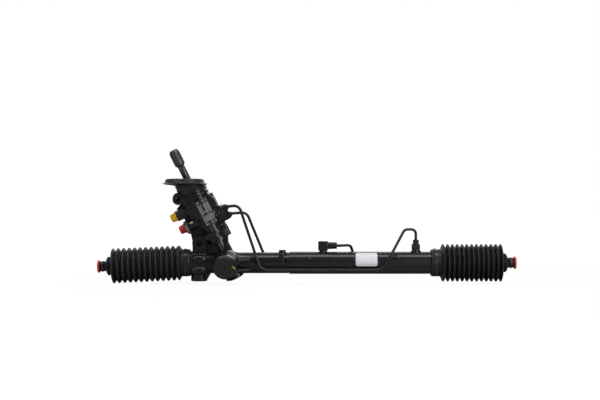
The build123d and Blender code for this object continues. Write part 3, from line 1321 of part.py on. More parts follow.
def short_pipe():
    """Back pipe from the valve, behind the barrel, round into the elbow."""
    points = [
        block_exit(-1, PIPE_BLOCK_FACE), block_exit(-1, PIPE_BLOCK_FACE + PIPE_PLATE + PIPE_LEAD),
        at(BACK_TOP_REACH, BACK_TOP_Y, BACK_TOP_Z), at(BACK_RUN_REACH, BACK_RUN_Y, BACK_RUN_Z),
        at(BACK_END_REACH, BACK_RUN_Y, BACK_RUN_Z), at(BACK_HOOK_REACH, BACK_HOOK_Y, ELBOW_PIPE_Z + 1),
        Vector(ELBOW_RIGHT + ELBOW_NUT_LENGTH + BACK_LEAD, 0, ELBOW_PIPE_Z), Vector(ELBOW_RIGHT, 0, ELBOW_PIPE_Z)]
    return pipe_along(points, BACK_BENDS, PIPE_RADIUS, PIPE_BORE)


def pipe_plate():
    """Plate that clamps both pipe ends in the pipe block."""
    top = PIPE_BLOCK_FACE + PIPE_PLATE
    plate = block(PIPE_BLOCK, PIPE_SPACING, PIPE_PLATE_EAR, PIPE_BLOCK_FACE, top)
    for side in (PIPE_SPACING / 2, -PIPE_SPACING / 2):
        plate += rod(PIPE_BLOCK, PIPE_PLATE_EAR, PIPE_BLOCK_FACE, top, side)
    for side in (PIPE_SPACING / 2, -PIPE_SPACING / 2):
        plate -= rod(PIPE_BLOCK, PIPE_RADIUS + SEAT_GAP, PIPE_BLOCK_FACE - 1, top + 1, side)
    return plate


# ---------------------------------------------------------------- ports and transit plugs
def fitting(plane, face, body):
    """Adaptor screwed into a port boss, bored through."""
    spigot = rod(plane, PORT_BORE - SEAT_GAP, face - FITTING_SPIGOT, face)
    return body + spigot - rod(plane, FITTING_BORE, face - FITTING_SPIGOT - 1, face + 2 * PRESSURE_FITTING)


def pressure_fitting():
    """Long hexagonal adaptor of the pressure port."""
    face = PRESSURE_PORT_END - PRESSURE_FITTING
    body = hexagon(PRESSURE_PORT, PRESSURE_FITTING_ACROSS, face, PRESSURE_PORT_END, 30)
    return fitting(PRESSURE_PORT, face, body)


def return_fitting():
    """Wide flanged adaptor of the return port."""
    face = RETURN_PORT_END - RETURN_FITTING
    rim = RETURN_FITTING_RADIUS
    body = turned(RETURN_PORT, [
        (0, face), (PORT_BOSS_RADIUS, face), (rim, face + 1), (rim, RETURN_PORT_END - 1),
        (rim - 1, RETURN_PORT_END), (0, RETURN_PORT_END)])
    return fitting(RETURN_PORT, face, body)


def transit_plug(plane, seat):
    """Plastic plug with a notched grip, pushed into a port for transport."""
    stem = FITTING_BORE - FREE_GAP / 2
    grip = PLUG_GRIP_RADIUS
    end = seat + PLUG_LENGTH
    plug = turned(plane, [
        (0, seat - PLUG_FLANGE), (stem, seat - PLUG_FLANGE), (stem, seat), (PLUG_RADIUS, seat),
        (PLUG_RADIUS, seat + PLUG_FLANGE), (grip, seat + PLUG_FLANGE + 1), (grip, end - 2), (grip - 2, end), (0, end)])
    for k in range(PLUG_NOTCHES):
        turn = radians(360 * k / PLUG_NOTCHES)
        reach = grip + PLUG_NOTCH / 2
        plug -= rod(plane, PLUG_NOTCH, seat + PLUG_FLANGE + 1, end + 1, reach * cos(turn), reach * sin(turn))
    return plug


def body_plug():
    """Small screwed plug on the front of the return boss."""
    return rod(BODY_PLUG, BODY_PLUG_RADIUS, PORT_BORE + 1, PORT_BOSS_RADIUS + BODY_PLUG_PROUD)


# ---------------------------------------------------------------- bulkhead seal
def bulkhead_seal():
    """Rubber seal: a level rounded flange with a thick bead, on a sleeve over the valve casting."""
    middle = (TOWER.location * Pos(0, 0, SEAL_CENTRE_HEIGHT)).position
    level = upright(SEAL_X, middle.Y)
    outer = level.location * revolve(Plane.XZ * seal_section(), Axis.Z, 360)
    outer -= rod(TOWER, RIBBED_RADIUS + SEAL_WALL, VALVE_BODY_TOP, RIBBED_TOP)
    sleeve = rod(TOWER, SEAL_SEAT_RADIUS + SEAL_WALL, RIBBED_TOP, SEAL_CENTRE_HEIGHT)
    hollow = rod(TOWER, SEAL_SEAT_RADIUS + SEAT_GAP, RIBBED_TOP - KNOB_RADIUS, VALVE_TOP + SEAT_GAP)
    hollow += rod(TOWER, VALVE_BORE, VALVE_TOP, SEAL_CENTRE_HEIGHT - SEAL_WALL)
    mouth = rod(TOWER, SHAFT_NECK + SEAL_WALL, VALVE_TOP, HEAD_LOW)
    return outer + sleeve - hollow - mouth


def seal_section():
    """Half section of the seal's flange: thin rounded rim, thick bead, and a cone under both."""
    rim_middle = Pos(SEAL_RADIUS / 2 + SEAL_WALL, SEAL_Z)
    section = rim_middle * RectangleRounded(SEAL_RADIUS - 2 * SEAL_WALL, SEAL_RIM, SEAL_RIM / 2.2)
    tall = SEAL_BEAD_HEIGHT + SEAL_RIM
    bead_middle = Pos(SEAL_BEAD_OUT - SEAL_BEAD_WIDE / 2, SEAL_Z + SEAL_BEAD_HEIGHT - tall / 2)
    section += bead_middle * RectangleRounded(SEAL_BEAD_WIDE, tall, SEAL_BEAD_WIDE / 2.6)
    section += Pos(SEAL_RADIUS / 4, SEAL_Z) * Rectangle(SEAL_RADIUS / 2, SEAL_RIM)
    low = SEAL_Z - SEAL_BEAD_HEIGHT + SEAL_WALL
    cone = [(0, SEAL_Z), (SEAL_BEAD_OUT - SEAL_WALL, SEAL_Z), (SEAL_SEAT_RADIUS + 2 * SEAL_WALL, low), (0, low)]
    return section + make_face(Polyline(*cone, close=True))


# ---------------------------------------------------------------- boots
def bellows(start, count, pitch, sign, tilt, grip):
    """Rubber boot: collar, folds, one small fold and a neck, as a thin shell."""
    axis = Plane(origin=(start, 0, 0), x_dir=(0, 1, 0), z_dir=(sign * cos(tilt), 0, -sin(tilt)))
    outside = [(FOLD_VALLEY - 1, 0)]
    inside = [(FOLD_VALLEY - 1 - RUBBER, 0)]
    for k in range(count):
        ridge = (k + 0.5) * pitch
        outside += [(FOLD_RIDGE, ridge - FOLD_FLAT), (FOLD_RIDGE, ridge + FOLD_FLAT)]
        inside += [(FOLD_RIDGE - 2 * RUBBER, ridge)]
        if k < count - 1:
            outside += [(FOLD_VALLEY, ridge + pitch / 2)]
            inside += [(FOLD_VALLEY - RUBBER, ridge + pitch / 2)]
    end = count * pitch
    neck = end + SMALL_FOLD_LENGTH
    outside += [(SMALL_FOLD - 4, end + 1), (SMALL_FOLD, end + SMALL_FOLD_LENGTH / 2), (SMALL_FOLD - 3, neck - 2),
                (NECK_RADIUS, neck), (NECK_RADIUS, neck + NECK_LENGTH)]
    inside += [(SMALL_FOLD - 4 - RUBBER, end + 1), (SMALL_FOLD - 2 * RUBBER, end + SMALL_FOLD_LENGTH / 2),
               (NECK_RADIUS - RUBBER, neck - 1), (NECK_RADIUS - RUBBER, neck + NECK_LENGTH)]
    return turned(axis, outside + inside[::-1]) + collar(start, sign, grip)


def collar(start, sign, grip):
    """Straight collar that grips the boot seat."""
    far = start - sign * grip
    low, high = min(start, far), max(start, far)
    return tube(RACK, BOOT_SEAT_RADIUS + COLLAR_WALL, BOOT_SEAT_RADIUS + SEAT_GAP, low, high)


def boot_end_plane(start, count, pitch, sign, tilt):
    """Plane at the open end of a boot's neck."""
    length = count * pitch + SMALL_FOLD_LENGTH + NECK_LENGTH
    return Plane(origin=(start + sign * cos(tilt) * length, 0, -sin(tilt) * length),
                 x_dir=(0, 1, 0), z_dir=(sign * cos(tilt), 0, -sin(tilt)))


LEFT_MOUTH = boot_end_plane(LEFT_COLLAR_X, LEFT_FOLDS, LEFT_PITCH, -1, radians(LEFT_SAG))
RIGHT_MOUTH = boot_end_plane(RIGHT_FOLDS_X, RIGHT_FOLDS, RIGHT_PITCH, 1, 0)


def end_plug(mouth):
    """Plastic plug in the small end of a boot."""
    flange_disc = rod(mouth, END_PLUG_RADIUS, SEAT_GAP, END_PLUG_FLANGE)
    return flange_disc + rod(mouth, NECK_RADIUS - RUBBER - SEAT_GAP, -END_PLUG_STEM, SEAT_GAP)


def small_clamp(mouth):
    """Band round the neck of a boot."""
    low = -(NECK_LENGTH + NECK_CLAMP_WIDTH) / 2
    return tube(mouth, NECK_RADIUS + CLAMP_THICK, NECK_RADIUS + SEAT_GAP, low, low + NECK_CLAMP_WIDTH)


def large_clamp(start, sign, grip):
    """Band round the collar of a boot."""
    low = start - sign * grip / 2 - CLAMP_WIDTH / 2
    radius = BOOT_SEAT_RADIUS + COLLAR_WALL
    return tube(RACK, radius + CLAMP_THICK, radius + SEAT_GAP, low, low + CLAMP_WIDTH)


# ---------------------------------------------------------------- label, export
def label():
    """Blank sticker that wraps the front of the barrel."""
    low = PINION_X + LABEL_REACH
    high = low + LABEL_LENGTH
    band = tube(RACK, TUBE_RADIUS + SEAT_GAP + LABEL_THICK, TUBE_RADIUS + SEAT_GAP, low, high)
    window = Pos((low + high) / 2, -TUBE_RADIUS, LABEL_MIDDLE_Z) * Box(2 * LABEL_LENGTH, TUBE_RADIUS, LABEL_TALL)
    return band & window


def save(name, *solids):
    """Write one node's solids to its own STEP file."""
    flat = []
    for item in solids:
        flat.extend(item if isinstance(item, list) else [item])
    bodies = [solid for shape in flat for solid in shape.solids()]
    export_step(bodies[0] if len(bodies) == 1 else Compound(children=bodies), f"parts/{name}.step")


def main():
    """Build every node and write it."""
    os.makedirs("parts", exist_ok=True)
    save("pinion_housing", pinion_housing())
    save("cylinder_tube", cylinder_tube())
    save("valve_housing", valve_housing())
    save("flange_gasket", flange_gasket())
    save("flange_bolts", flange_bolts())
    save("rack_bar", rack_bar())
    save("piston", piston())
    save("piston_ring", piston_ring())
    save("piston_snap_rings", piston_snap_rings())
    save("rack_bush", rack_bush())
    save("inner_seal_carrier", inner_seal_carrier())
    save("inner_rack_seal", inner_rack_seal())
    save("end_gland", end_gland())
    save("outer_rack_seal", outer_rack_seal())
    save("pinion_shaft", pinion_shaft())
    save("pinion_nut", pinion_nut())
    save("bearing_inner_race", bearing_inner_race())
    save("bearing_outer_race", bearing_outer_race())
    save("bearing_balls", bearing_balls())
    save("needle_bearing", needle_bearing())
    save("pinion_end_cap", pinion_end_cap())
    save("valve_sleeve", valve_sleeve())
    save("sleeve_rings", sleeve_rings())
    save("input_shaft", input_shaft())
    save("torsion_bar", torsion_bar())
    save("torsion_pin", torsion_pin())
    save("input_bearing", input_bearing())
    save("input_seal", input_seal())
    save("bulkhead_seal", bulkhead_seal())
    save("yoke", yoke())
    save("yoke_liner", yoke_liner())
    save("yoke_spring", yoke_spring())
    save("yoke_plug", yoke_plug())
    save("yoke_locknut", yoke_locknut())
    save("pressure_fitting", pressure_fitting())
    save("return_fitting", return_fitting())
    save("pressure_plug", transit_plug(PRESSURE_PORT, PRESSURE_PORT_END))
    save("return_plug", transit_plug(RETURN_PORT, RETURN_PORT_END))
    save("body_plug", body_plug())
    save("pipe_plate", pipe_plate())
    save("long_pipe", long_pipe())
    save("short_pipe", short_pipe())
    save("outlet_union", outlet_union())
    save("outlet_nut", outlet_nut())
    save("inlet_elbow", inlet_elbow())
    save("inlet_nut", inlet_nut())
    save("left_boot", bellows(LEFT_COLLAR_X, LEFT_FOLDS, LEFT_PITCH, -1, radians(LEFT_SAG), LEFT_COLLAR))
    save("right_boot", bellows(RIGHT_FOLDS_X, RIGHT_FOLDS, RIGHT_PITCH, 1, 0, RIGHT_COLLAR))
    save("left_collar_clamp", large_clamp(LEFT_COLLAR_X, -1, LEFT_COLLAR))
    save("right_collar_clamp", large_clamp(RIGHT_FOLDS_X, 1, RIGHT_COLLAR))
    save("left_neck_clamp", small_clamp(LEFT_MOUTH))
    save("right_neck_clamp", small_clamp(RIGHT_MOUTH))
    save("left_end_plug", end_plug(LEFT_MOUTH))
    save("right_end_plug", end_plug(RIGHT_MOUTH))
    save("label", label())


if __name__ == "__main__":
    main()
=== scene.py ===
"""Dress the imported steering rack: finishes, rubber boots and seal, small trim, light and camera."""

import enum
import json
import logging
import math
from dataclasses import dataclass

import bmesh
import bpy
from mathutils import Matrix, Vector, noise


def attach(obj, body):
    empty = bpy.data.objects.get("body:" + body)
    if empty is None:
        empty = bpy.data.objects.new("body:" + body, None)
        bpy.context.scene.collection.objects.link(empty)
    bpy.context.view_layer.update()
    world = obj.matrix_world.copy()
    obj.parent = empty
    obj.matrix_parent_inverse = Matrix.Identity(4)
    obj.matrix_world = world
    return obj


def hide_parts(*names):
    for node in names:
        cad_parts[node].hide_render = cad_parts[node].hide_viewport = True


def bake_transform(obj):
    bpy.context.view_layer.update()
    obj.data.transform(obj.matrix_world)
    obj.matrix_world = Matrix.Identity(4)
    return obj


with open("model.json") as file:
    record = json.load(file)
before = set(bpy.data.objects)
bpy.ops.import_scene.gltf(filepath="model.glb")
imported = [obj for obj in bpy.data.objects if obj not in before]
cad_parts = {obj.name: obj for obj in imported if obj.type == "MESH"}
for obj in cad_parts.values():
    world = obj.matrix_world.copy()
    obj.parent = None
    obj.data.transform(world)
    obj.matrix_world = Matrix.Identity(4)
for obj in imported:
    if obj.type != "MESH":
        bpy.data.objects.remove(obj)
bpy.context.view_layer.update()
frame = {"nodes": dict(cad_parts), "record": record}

LOG = logging.getLogger("steering_rack")

# Datum places of the rack, in metres from the middle of the clamp seat.
PINION_X = -0.365
PLACE_DIGITS = 6
TUBE_RADIUS = 0.0234
TOWER_ORIGIN = Vector((-0.365, 0.014433, 0.002028))
TOWER_UP = Vector((-0.435231, -0.1253, 0.891557))
TOWER_ACROSS = Vector((0.900319, -0.060572, 0.430995))
TOWER_BACK = Vector((0.0, 0.990268, 0.139173))
YOKE_ORIGIN = Vector((-0.369, 0.0, 0.0))
YOKE_OUT = Vector((0.0, -0.990268, -0.139173))
YOKE_UP = Vector((0.0, -0.139173, 0.990268))
PART_MIDDLE = (-0.214, 0.0, 0.03)
WORLD_X, WORLD_Y, WORLD_Z = Vector((1, 0, 0)), Vector((0, 1, 0)), Vector((0, 0, 1))

Piece = bpy.types.Object
Socket = bpy.types.NodeSocket
Colour = tuple[float, float, float]
Span = tuple[float, float]
Outline = tuple[Span, ...]
Ring = tuple[Vector, Vector, float]
Quad = tuple[int, ...]
Feed = Socket | float | tuple[float, ...]


class Body(enum.Enum):
    """Rigid bodies that a piece can ride on."""

    HOUSING = "housing"
    INPUT = "input_shaft"
    LEFT_END = "left_boot_end"
    RIGHT_END = "right_boot_end"


class Side(enum.Enum):
    """Which way a boot points along the rack."""

    LEFT = -1
    RIGHT = 1


def tower_place(across: float, back: float, height: float) -> Vector:
    """Place at a distance to the right of the pinion axis, behind it and up it from the rack."""
    return TOWER_ORIGIN + TOWER_ACROSS * across + TOWER_BACK * back + TOWER_UP * height


# ---- node helpers
class NodeTree:
    """A short way to write a node tree."""

    def __init__(self, tree: bpy.types.NodeTree) -> None:
        """Take up a tree."""
        self.tree = tree

    def feed(self, value: Feed, target: Socket) -> None:
        """Link a socket to an input, or set the input's value."""
        if isinstance(value, Socket):
            self.tree.links.new(value, target)
        else:
            target.default_value = value

    def add(self, kind: str, operation: str = "", **inputs: Feed) -> bpy.types.Node:
        """Add a node and feed its inputs.

        Args:
            kind: Node type.
            operation: What it works out, where it can do several things.
            **inputs: What feeds each input, by name with underscores for spaces.

        Returns:
            The new node.
        """
        node = self.tree.nodes.new(kind)
        if operation:
            node.operation = operation
        for key, value in inputs.items():
            self.feed(value, node.inputs[key.replace("_", " ")])
        return node

    def math(self, operation: str, *values: Feed) -> Socket:
        """Work out a number.

        Args:
            operation: Name of the sum.
            *values: What feeds its inputs, in order.

        Returns:
            The result.
        """
        node = self.add("ShaderNodeMath", operation)
        for value, target in zip(values, node.inputs):
            self.feed(value, target)
        return node.outputs[0]

    def remap(self, source: Socket, old: Span, new: Span = (0.0, 1.0)) -> Socket:
        """Map one range of a number on to another, and return the mapped socket."""
        node = self.add("ShaderNodeMapRange", Value=source, From_Min=old[0], From_Max=old[1], To_Min=new[0],
                        To_Max=new[1])
        return node.outputs["Result"]

    def mix(self, share: Feed, first: Socket, second: Socket) -> Socket:
        """Mix two shaders.

        Args:
            share: 0 for the first and 1 for the second.
            first: First shader.
            second: Second shader.

        Returns:
            The mixed shader.
        """
        node = self.add("ShaderNodeMixShader", Fac=share)
        self.feed(first, node.inputs[1])
        self.feed(second, node.inputs[2])
        return node.outputs["Shader"]


class MaterialTree(NodeTree):
    """A material's node tree, in the piece's own space."""

    def __init__(self, name: str) -> None:
        """Start an empty material of a name."""
        self.material = bpy.data.materials.new(name)
        self.material.use_nodes = True
        super().__init__(self.material.node_tree)
        self.tree.nodes.clear()
        self.place = self.add("ShaderNodeTexCoord").outputs["Object"]

    def close(self, shader: Socket) -> bpy.types.Material:
        """End the tree with a shader and return the material."""
        self.add("ShaderNodeOutputMaterial", Surface=shader)
        return self.material

    def surface(self, **inputs: Feed) -> bpy.types.Material:
        """End the tree with a principled shader fed by name, and return the material."""
        return self.close(self.add("ShaderNodeBsdfPrincipled", **inputs).outputs["BSDF"])

    def ramp(self, source: Socket, stops: Span, colours: tuple[Colour, Colour]) -> Socket:
        """Blend from one colour to another.

        Args:
            source: Factor socket.
            stops: Where the first colour ends and where the second begins.
            colours: The two linear colours.

        Returns:
            The colour socket.
        """
        node = self.add("ShaderNodeValToRGB", Fac=source)
        for element, position, colour in zip(node.color_ramp.elements, stops, colours):
            element.position = position
            element.color = (*colour, 1.0)
        return node.outputs["Color"]


class GeometryTree(NodeTree):
    """A Geometry Nodes tree with named inputs that ends in Realize Instances and Set Material."""

    def __init__(self, name: str, inputs: dict[str, str]) -> None:
        """Start a tree.

        Args:
            name: Name of the tree.
            inputs: Type of each size that the tree takes, by name.
        """
        super().__init__(bpy.data.node_groups.new(name, "GeometryNodeTree"))
        face = self.tree.interface
        for label, kind in {"Geometry": "Geometry", **inputs, "Material": "Material"}.items():
            face.new_socket(label, in_out="INPUT", socket_type="NodeSocket" + kind)
        face.new_socket("Geometry", in_out="OUTPUT", socket_type="NodeSocketGeometry")
        self.sizes = self.add("NodeGroupInput").outputs

    def close(self, geometry: Socket) -> None:
        """End the tree with real mesh and its material."""
        real = self.add("GeometryNodeRealizeInstances", Geometry=geometry).outputs[0]
        dressed = self.add("GeometryNodeSetMaterial", Geometry=real, Material=self.sizes["Material"])
        self.feed(dressed.outputs[0], self.add("NodeGroupOutput").inputs[0])

    def apply(self, piece: Piece, values: dict[str, float], material: bpy.types.Material) -> None:
        """Run the tree on a piece and keep its plain mesh.

        Args:
            piece: The piece, which keeps no modifier.
            values: Size by input name.
            material: Finish of the result.
        """
        modifier = piece.modifiers.new(self.tree.name, "NODES")
        modifier.node_group = self.tree
        sizes: dict[str, object] = {**values, "Material": material}
        for item in self.tree.interface.items_tree:
            if item.in_out == "INPUT" and item.name in sizes:
                modifier[item.identifier] = sizes[item.name]
        bpy.context.view_layer.update()
        result = bpy.data.meshes.new_from_object(piece.evaluated_get(bpy.context.evaluated_depsgraph_get()))
        piece.modifiers.remove(modifier)
        piece.data = result


def fold_tree() -> GeometryTree:
    """Tree that swells a plain tube along +X into even folds.

    Returns:
        The tree, with inputs for the folds' number, pitch, depth and roundness.
    """
    tree = GeometryTree("bellows_folds", dict.fromkeys(("Folds", "Pitch", "Depth", "Roundness"), "Float"))
    sizes = tree.sizes
    place = tree.add("ShaderNodeSeparateXYZ", Vector=tree.add("GeometryNodeInputPosition").outputs[0]).outputs
    along = place["X"]
    turn = tree.math("MULTIPLY", tree.math("DIVIDE", along, sizes["Pitch"]), 2 * math.pi)
    wave = tree.math("MULTIPLY_ADD", tree.math("COSINE", turn), -0.5, 0.5)
    swell = tree.math("POWER", tree.math("MAXIMUM", wave, 0.0), sizes["Roundness"])
    inside = tree.math("LESS_THAN", along, tree.math("MULTIPLY", sizes["Folds"], sizes["Pitch"]))
    active = tree.math("MULTIPLY", tree.math("GREATER_THAN", along, 0.0), inside)
    height = tree.math("MULTIPLY", tree.math("MULTIPLY", swell, sizes["Depth"]), active)
    flat = tree.add("ShaderNodeCombineXYZ", Y=place["Y"], Z=place["Z"])
    outward = tree.add("ShaderNodeVectorMath", "NORMALIZE", Vector=flat.outputs[0])
    push = tree.add("ShaderNodeVectorMath", "SCALE", Vector=outward.outputs[0], Scale=height)
    moved = tree.add("GeometryNodeSetPosition", Geometry=sizes["Geometry"], Offset=push.outputs[0])
    tree.close(moved.outputs[0])
    return tree


def ridge_tree() -> GeometryTree:
    """Tree that stands a ring of small ridges round +Z.

    Returns:
        The tree, with inputs for the ridges' number, ring radius, size and length.
    """
    inputs = {"Ridges": "Int", **dict.fromkeys(("Radius", "Size", "Length"), "Float")}
    tree = GeometryTree("ridge_ring", inputs)
    sizes = tree.sizes
    ring = tree.add("GeometryNodeMeshCircle", Vertices=sizes["Ridges"], Radius=sizes["Radius"])
    ridge = tree.add("GeometryNodeMeshCylinder", Vertices=6, Radius=sizes["Size"], Depth=sizes["Length"])
    place = tree.add("GeometryNodeInputPosition")
    aim = tree.add("FunctionNodeAlignRotationToVector", Vector=place.outputs[0])
    aim.axis = "X"
    stand = tree.add("GeometryNodeInstanceOnPoints", Points=ring.outputs[0], Instance=ridge.outputs[0],
                     Rotation=aim.outputs[0])
    tree.close(stand.outputs[0])
    return tree


# ---- finishes
NOISE_SPAN = (0.3, 0.7)


@dataclass(frozen=True)
class Grain:
    """Noise over a piece's own space, with a depth in metres where it is relief."""

    scale: float
    detail: float = 3.0
    roughness: float = 0.55
    strength: float = 0.0
    depth: float = 0.0

    def factor(self, graph: MaterialTree) -> Socket:
        """Add the noise and return its factor socket."""
        return graph.add("ShaderNodeTexNoise", Vector=graph.place, Scale=self.scale, Detail=self.detail,
                         Roughness=self.roughness).outputs["Fac"]


@dataclass(frozen=True)
class Rows:
    """Faint form rows by height that say nothing."""

    pitch: float
    edge: Span

    def factor(self, graph: MaterialTree) -> Socket:
        """Add the rows and return their factor socket."""
        height = graph.add("ShaderNodeSeparateXYZ", Vector=graph.place).outputs["Z"]
        wave = graph.math("PINGPONG", height, self.pitch / 2)
        return graph.remap(wave, (self.pitch * self.edge[0], self.pitch * self.edge[1]))


@dataclass(frozen=True)
class Finish:
    """One material: a mottled or ruled colour, patchy roughness and layers of fine relief."""

    colour: Colour
    patch: Colour
    smooth: float
    dull: float
    pattern: Grain | Rows
    stops: Span
    patches: Grain
    reliefs: tuple[Grain, ...] = ()
    extras: tuple[tuple[str, Feed], ...] = ()

    def build(self, name: str) -> bpy.types.Material:
        """Make the material.

        Args:
            name: Its name.

        Returns:
            The material.
        """
        graph = MaterialTree(name)
        under: dict[str, Feed] = {}
        for grain in self.reliefs:
            bump = graph.add("ShaderNodeBump", Height=grain.factor(graph), Strength=grain.strength,
                             Distance=grain.depth, **under)
            under = {"Normal": bump.outputs["Normal"]}
        return graph.surface(
            Base_Color=graph.ramp(self.pattern.factor(graph), self.stops, (self.colour, self.patch)),
            Roughness=graph.remap(self.patches.factor(graph), NOISE_SPAN, (self.smooth, self.dull)),
            **under, **dict(self.extras))


def satin(colour: Colour, patch: Colour, smooth: float, dull: float, *reliefs: Grain) -> Finish:
    """Black paint over metal, with the grain and waves under its thin orange-peel coat."""
    peel = Grain(2600.0, 1.0, strength=0.3, depth=0.000003)
    coat = (("Specular IOR Level", 0.34), ("Coat Weight", 0.22), ("Coat Roughness", 0.17))
    return Finish(colour, patch, smooth, dull, Grain(60.0, 4.0, 0.6), (0.62, 0.85), Grain(240.0),
                  (*reliefs, peel), coat)


def grit(scale: float, depth: float) -> Grain:
    """Grain of the metal under the paint."""
    return Grain(scale, 4.0, 0.6, 0.8, depth)


def rubber(colour: Colour, bloom: Colour, smooth: float, dull: float) -> Finish:
    """Matt moulded rubber with a faint bloom, between two roughnesses."""
    return Finish(colour, bloom, smooth, dull, Grain(35.0, 5.0, 0.65), (0.6, 0.9), Grain(120.0),
                  (Grain(1800.0, 2.0, strength=0.5, depth=0.00002),), (("Specular IOR Level", 0.42),))


def steel(colour: Colour, stain: Colour, metallic: float = 1.0, smooth: float = 0.28, dull: float = 0.4
          ) -> Finish:
    """Turned or ground metal, bright or blackened, with soft stains and fine tool marks."""
    return Finish(colour, stain, smooth, dull, Grain(90.0, 4.0, 0.6), (0.4, 0.75), Grain(500.0),
                  (Grain(3200.0, 2.0, strength=0.3, depth=0.000003),), (("Metallic", metallic),))


def plastic(colour: Colour, shade: Colour, smooth: float = 0.38) -> Finish:
    """Slightly translucent moulded plastic with flow marks."""
    return Finish(colour, shade, smooth, smooth + 0.12, Grain(160.0), (0.35, 0.8), Grain(700.0),
                  (Grain(900.0, 2.0, strength=0.4, depth=0.00002),),
                  (("Subsurface Weight", 0.08), ("Subsurface Radius", (0.003, 0.0015, 0.001))))


FINISHES = {
    "cast_black": satin((0.0075, 0.0075, 0.0085), (0.018, 0.018, 0.019), 0.24, 0.36, grit(700.0, 0.000012),
                        Grain(30.0, 1.0, 0.4, 0.9, 0.0002)),
    "tube_black": satin((0.0090, 0.0100, 0.0125), (0.013, 0.014, 0.0165), 0.27, 0.33, grit(400.0, 0.000004)),
    "pipe_black": satin((0.012, 0.012, 0.013), (0.022, 0.022, 0.023), 0.26, 0.38, grit(500.0, 0.00001)),
    "dark_steel": satin((0.016, 0.016, 0.017), (0.04, 0.039, 0.038), 0.28, 0.42, grit(700.0, 0.00002)),
    "bright_steel": steel((0.5, 0.5, 0.51), (0.36, 0.35, 0.34)),
    "shaft_steel": steel((0.06, 0.06, 0.064), (0.11, 0.11, 0.115), 0.7, 0.3, 0.44),
    "bearing_bronze": steel((0.43, 0.29, 0.13), (0.3, 0.2, 0.1)),
    "yoke_alloy": steel((0.6, 0.6, 0.62), (0.45, 0.45, 0.46)),
    # Lighter grey face of the return port: partly the metal's own tone, partly a painted highlight on the
    # face.
    "machined_face": steel((0.17, 0.17, 0.19), (0.11, 0.11, 0.12), 0.6, 0.34, 0.46),
    "zinc_clip": steel((0.56, 0.53, 0.42), (0.36, 0.33, 0.24), 1.0, 0.3, 0.45),
    "seal_rubber": rubber((0.011, 0.011, 0.0115), (0.028, 0.027, 0.026), 0.36, 0.5),
    "boot_rubber": rubber((0.0085, 0.0088, 0.0095), (0.017, 0.017, 0.018), 0.4, 0.55),
    "yellow_plastic": plastic((0.90, 0.50, 0.012), (0.72, 0.36, 0.008)),
    "red_plastic": plastic((0.78, 0.035, 0.03), (0.6, 0.02, 0.02)),
    "marking_paint": plastic((0.55, 0.40, 0.05), (0.38, 0.26, 0.03), 0.45),
    "label_paper": Finish((0.80, 0.81, 0.84), (0.70, 0.71, 0.75), 0.38, 0.5, Rows(0.0052, (0.30, 0.36)),
                          (0.0, 1.0), Grain(150.0)),
}


class FinishBook:
    """Every finish of the rack, built once and handed out by slot name."""

    def __init__(self) -> None:
        """Start with nothing built."""
        self.built: dict[str, bpy.types.Material] = {}

    def get(self, slot: str) -> bpy.types.Material:
        """Return the material of a slot."""
        if slot not in self.built:
            self.built[slot] = FINISHES[slot].build(slot)
        return self.built[slot]

    def dress_frame(self) -> None:
        """Give every carried-over node the finish of its slot."""
        for part in frame["record"]["subparts"]:
            node = frame["nodes"][part["node"]]
            node.data.materials.clear()
            node.data.materials.append(self.get(part["material_slot"]))

    def dress(self, piece: Piece, slot: str, body: Body, finish: str = "", replaces: str = "") -> Piece:
        """Give a piece its finish, and let it ride on a body.

        Args:
            piece: The piece, whose finish is there already if Geometry Nodes made it.
            slot: Its slot in the record.
            body: The body that carries it.
            finish: Name of its finish, where that isn't the slot's own.
            replaces: The plain solid that it stands for.

        Returns:
            The piece.
        """
        if not piece.data.materials:
            piece.data.materials.append(self.get(finish or slot))
        if replaces:
            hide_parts(replaces)
        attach(piece, body.value)
        return piece


# ---- mesh helpers
def stand_mesh(build: bmesh.types.BMesh, mesh: bpy.types.Mesh, smooth: bool) -> Piece:
    """Write a bmesh into a mesh and stand it in the scene.

    Args:
        build: The bmesh, which is freed.
        mesh: The mesh to fill.
        smooth: Whether faces are shaded smooth.

    Returns:
        The new object, at the origin.
    """
    build.to_mesh(mesh)
    build.free()
    mesh.polygons.foreach_set("use_smooth", [smooth] * len(mesh.polygons))
    piece = bpy.data.objects.new(mesh.name, mesh)
    bpy.context.scene.collection.objects.link(piece)
    return piece


def mesh_object(name: str, points: list[Vector], faces: list[Quad], smooth: bool = True) -> Piece:
    """Make a piece from points and faces, with its normals turned outwards.

    Args:
        name: Name of the piece.
        points: Places in metres.
        faces: Corner numbers of each face.
        smooth: Whether faces are shaded smooth.

    Returns:
        The new object, at the origin.
    """
    mesh = bpy.data.meshes.new(name)
    mesh.from_pydata(points, [], faces)
    build = bmesh.new()
    build.from_mesh(mesh)
    bmesh.ops.remove_doubles(build, verts=build.verts, dist=1e-6)
    bmesh.ops.recalc_face_normals(build, faces=build.faces)
    return stand_mesh(build, mesh, smooth)


def settled_mesh(name: str, build: bmesh.types.BMesh) -> Piece:
    """Make a flat-shaded piece from a bmesh, with its corners and faces in order of place.

    Rounding edges leaves them in another order each run, and off by a last bit.

    Args:
        name: Name of the piece.
        build: The bmesh, which is freed.

    Returns:
        The new object, at the origin.
    """
    places = {corner: tuple(round(value, PLACE_DIGITS) for value in corner.co) for corner in build.verts}
    corners = sorted(places, key=places.get)
    ranks = {corner: number for number, corner in enumerate(corners)}
    faces = []
    for face in build.faces:
        ring = [ranks[corner] for corner in face.verts]
        lead = ring.index(min(ring))
        faces.append((*ring[lead:], *ring[:lead]))
    points = [Vector(places[corner]) for corner in corners]
    build.free()
    return mesh_object(name, points, sorted(faces), smooth=False)


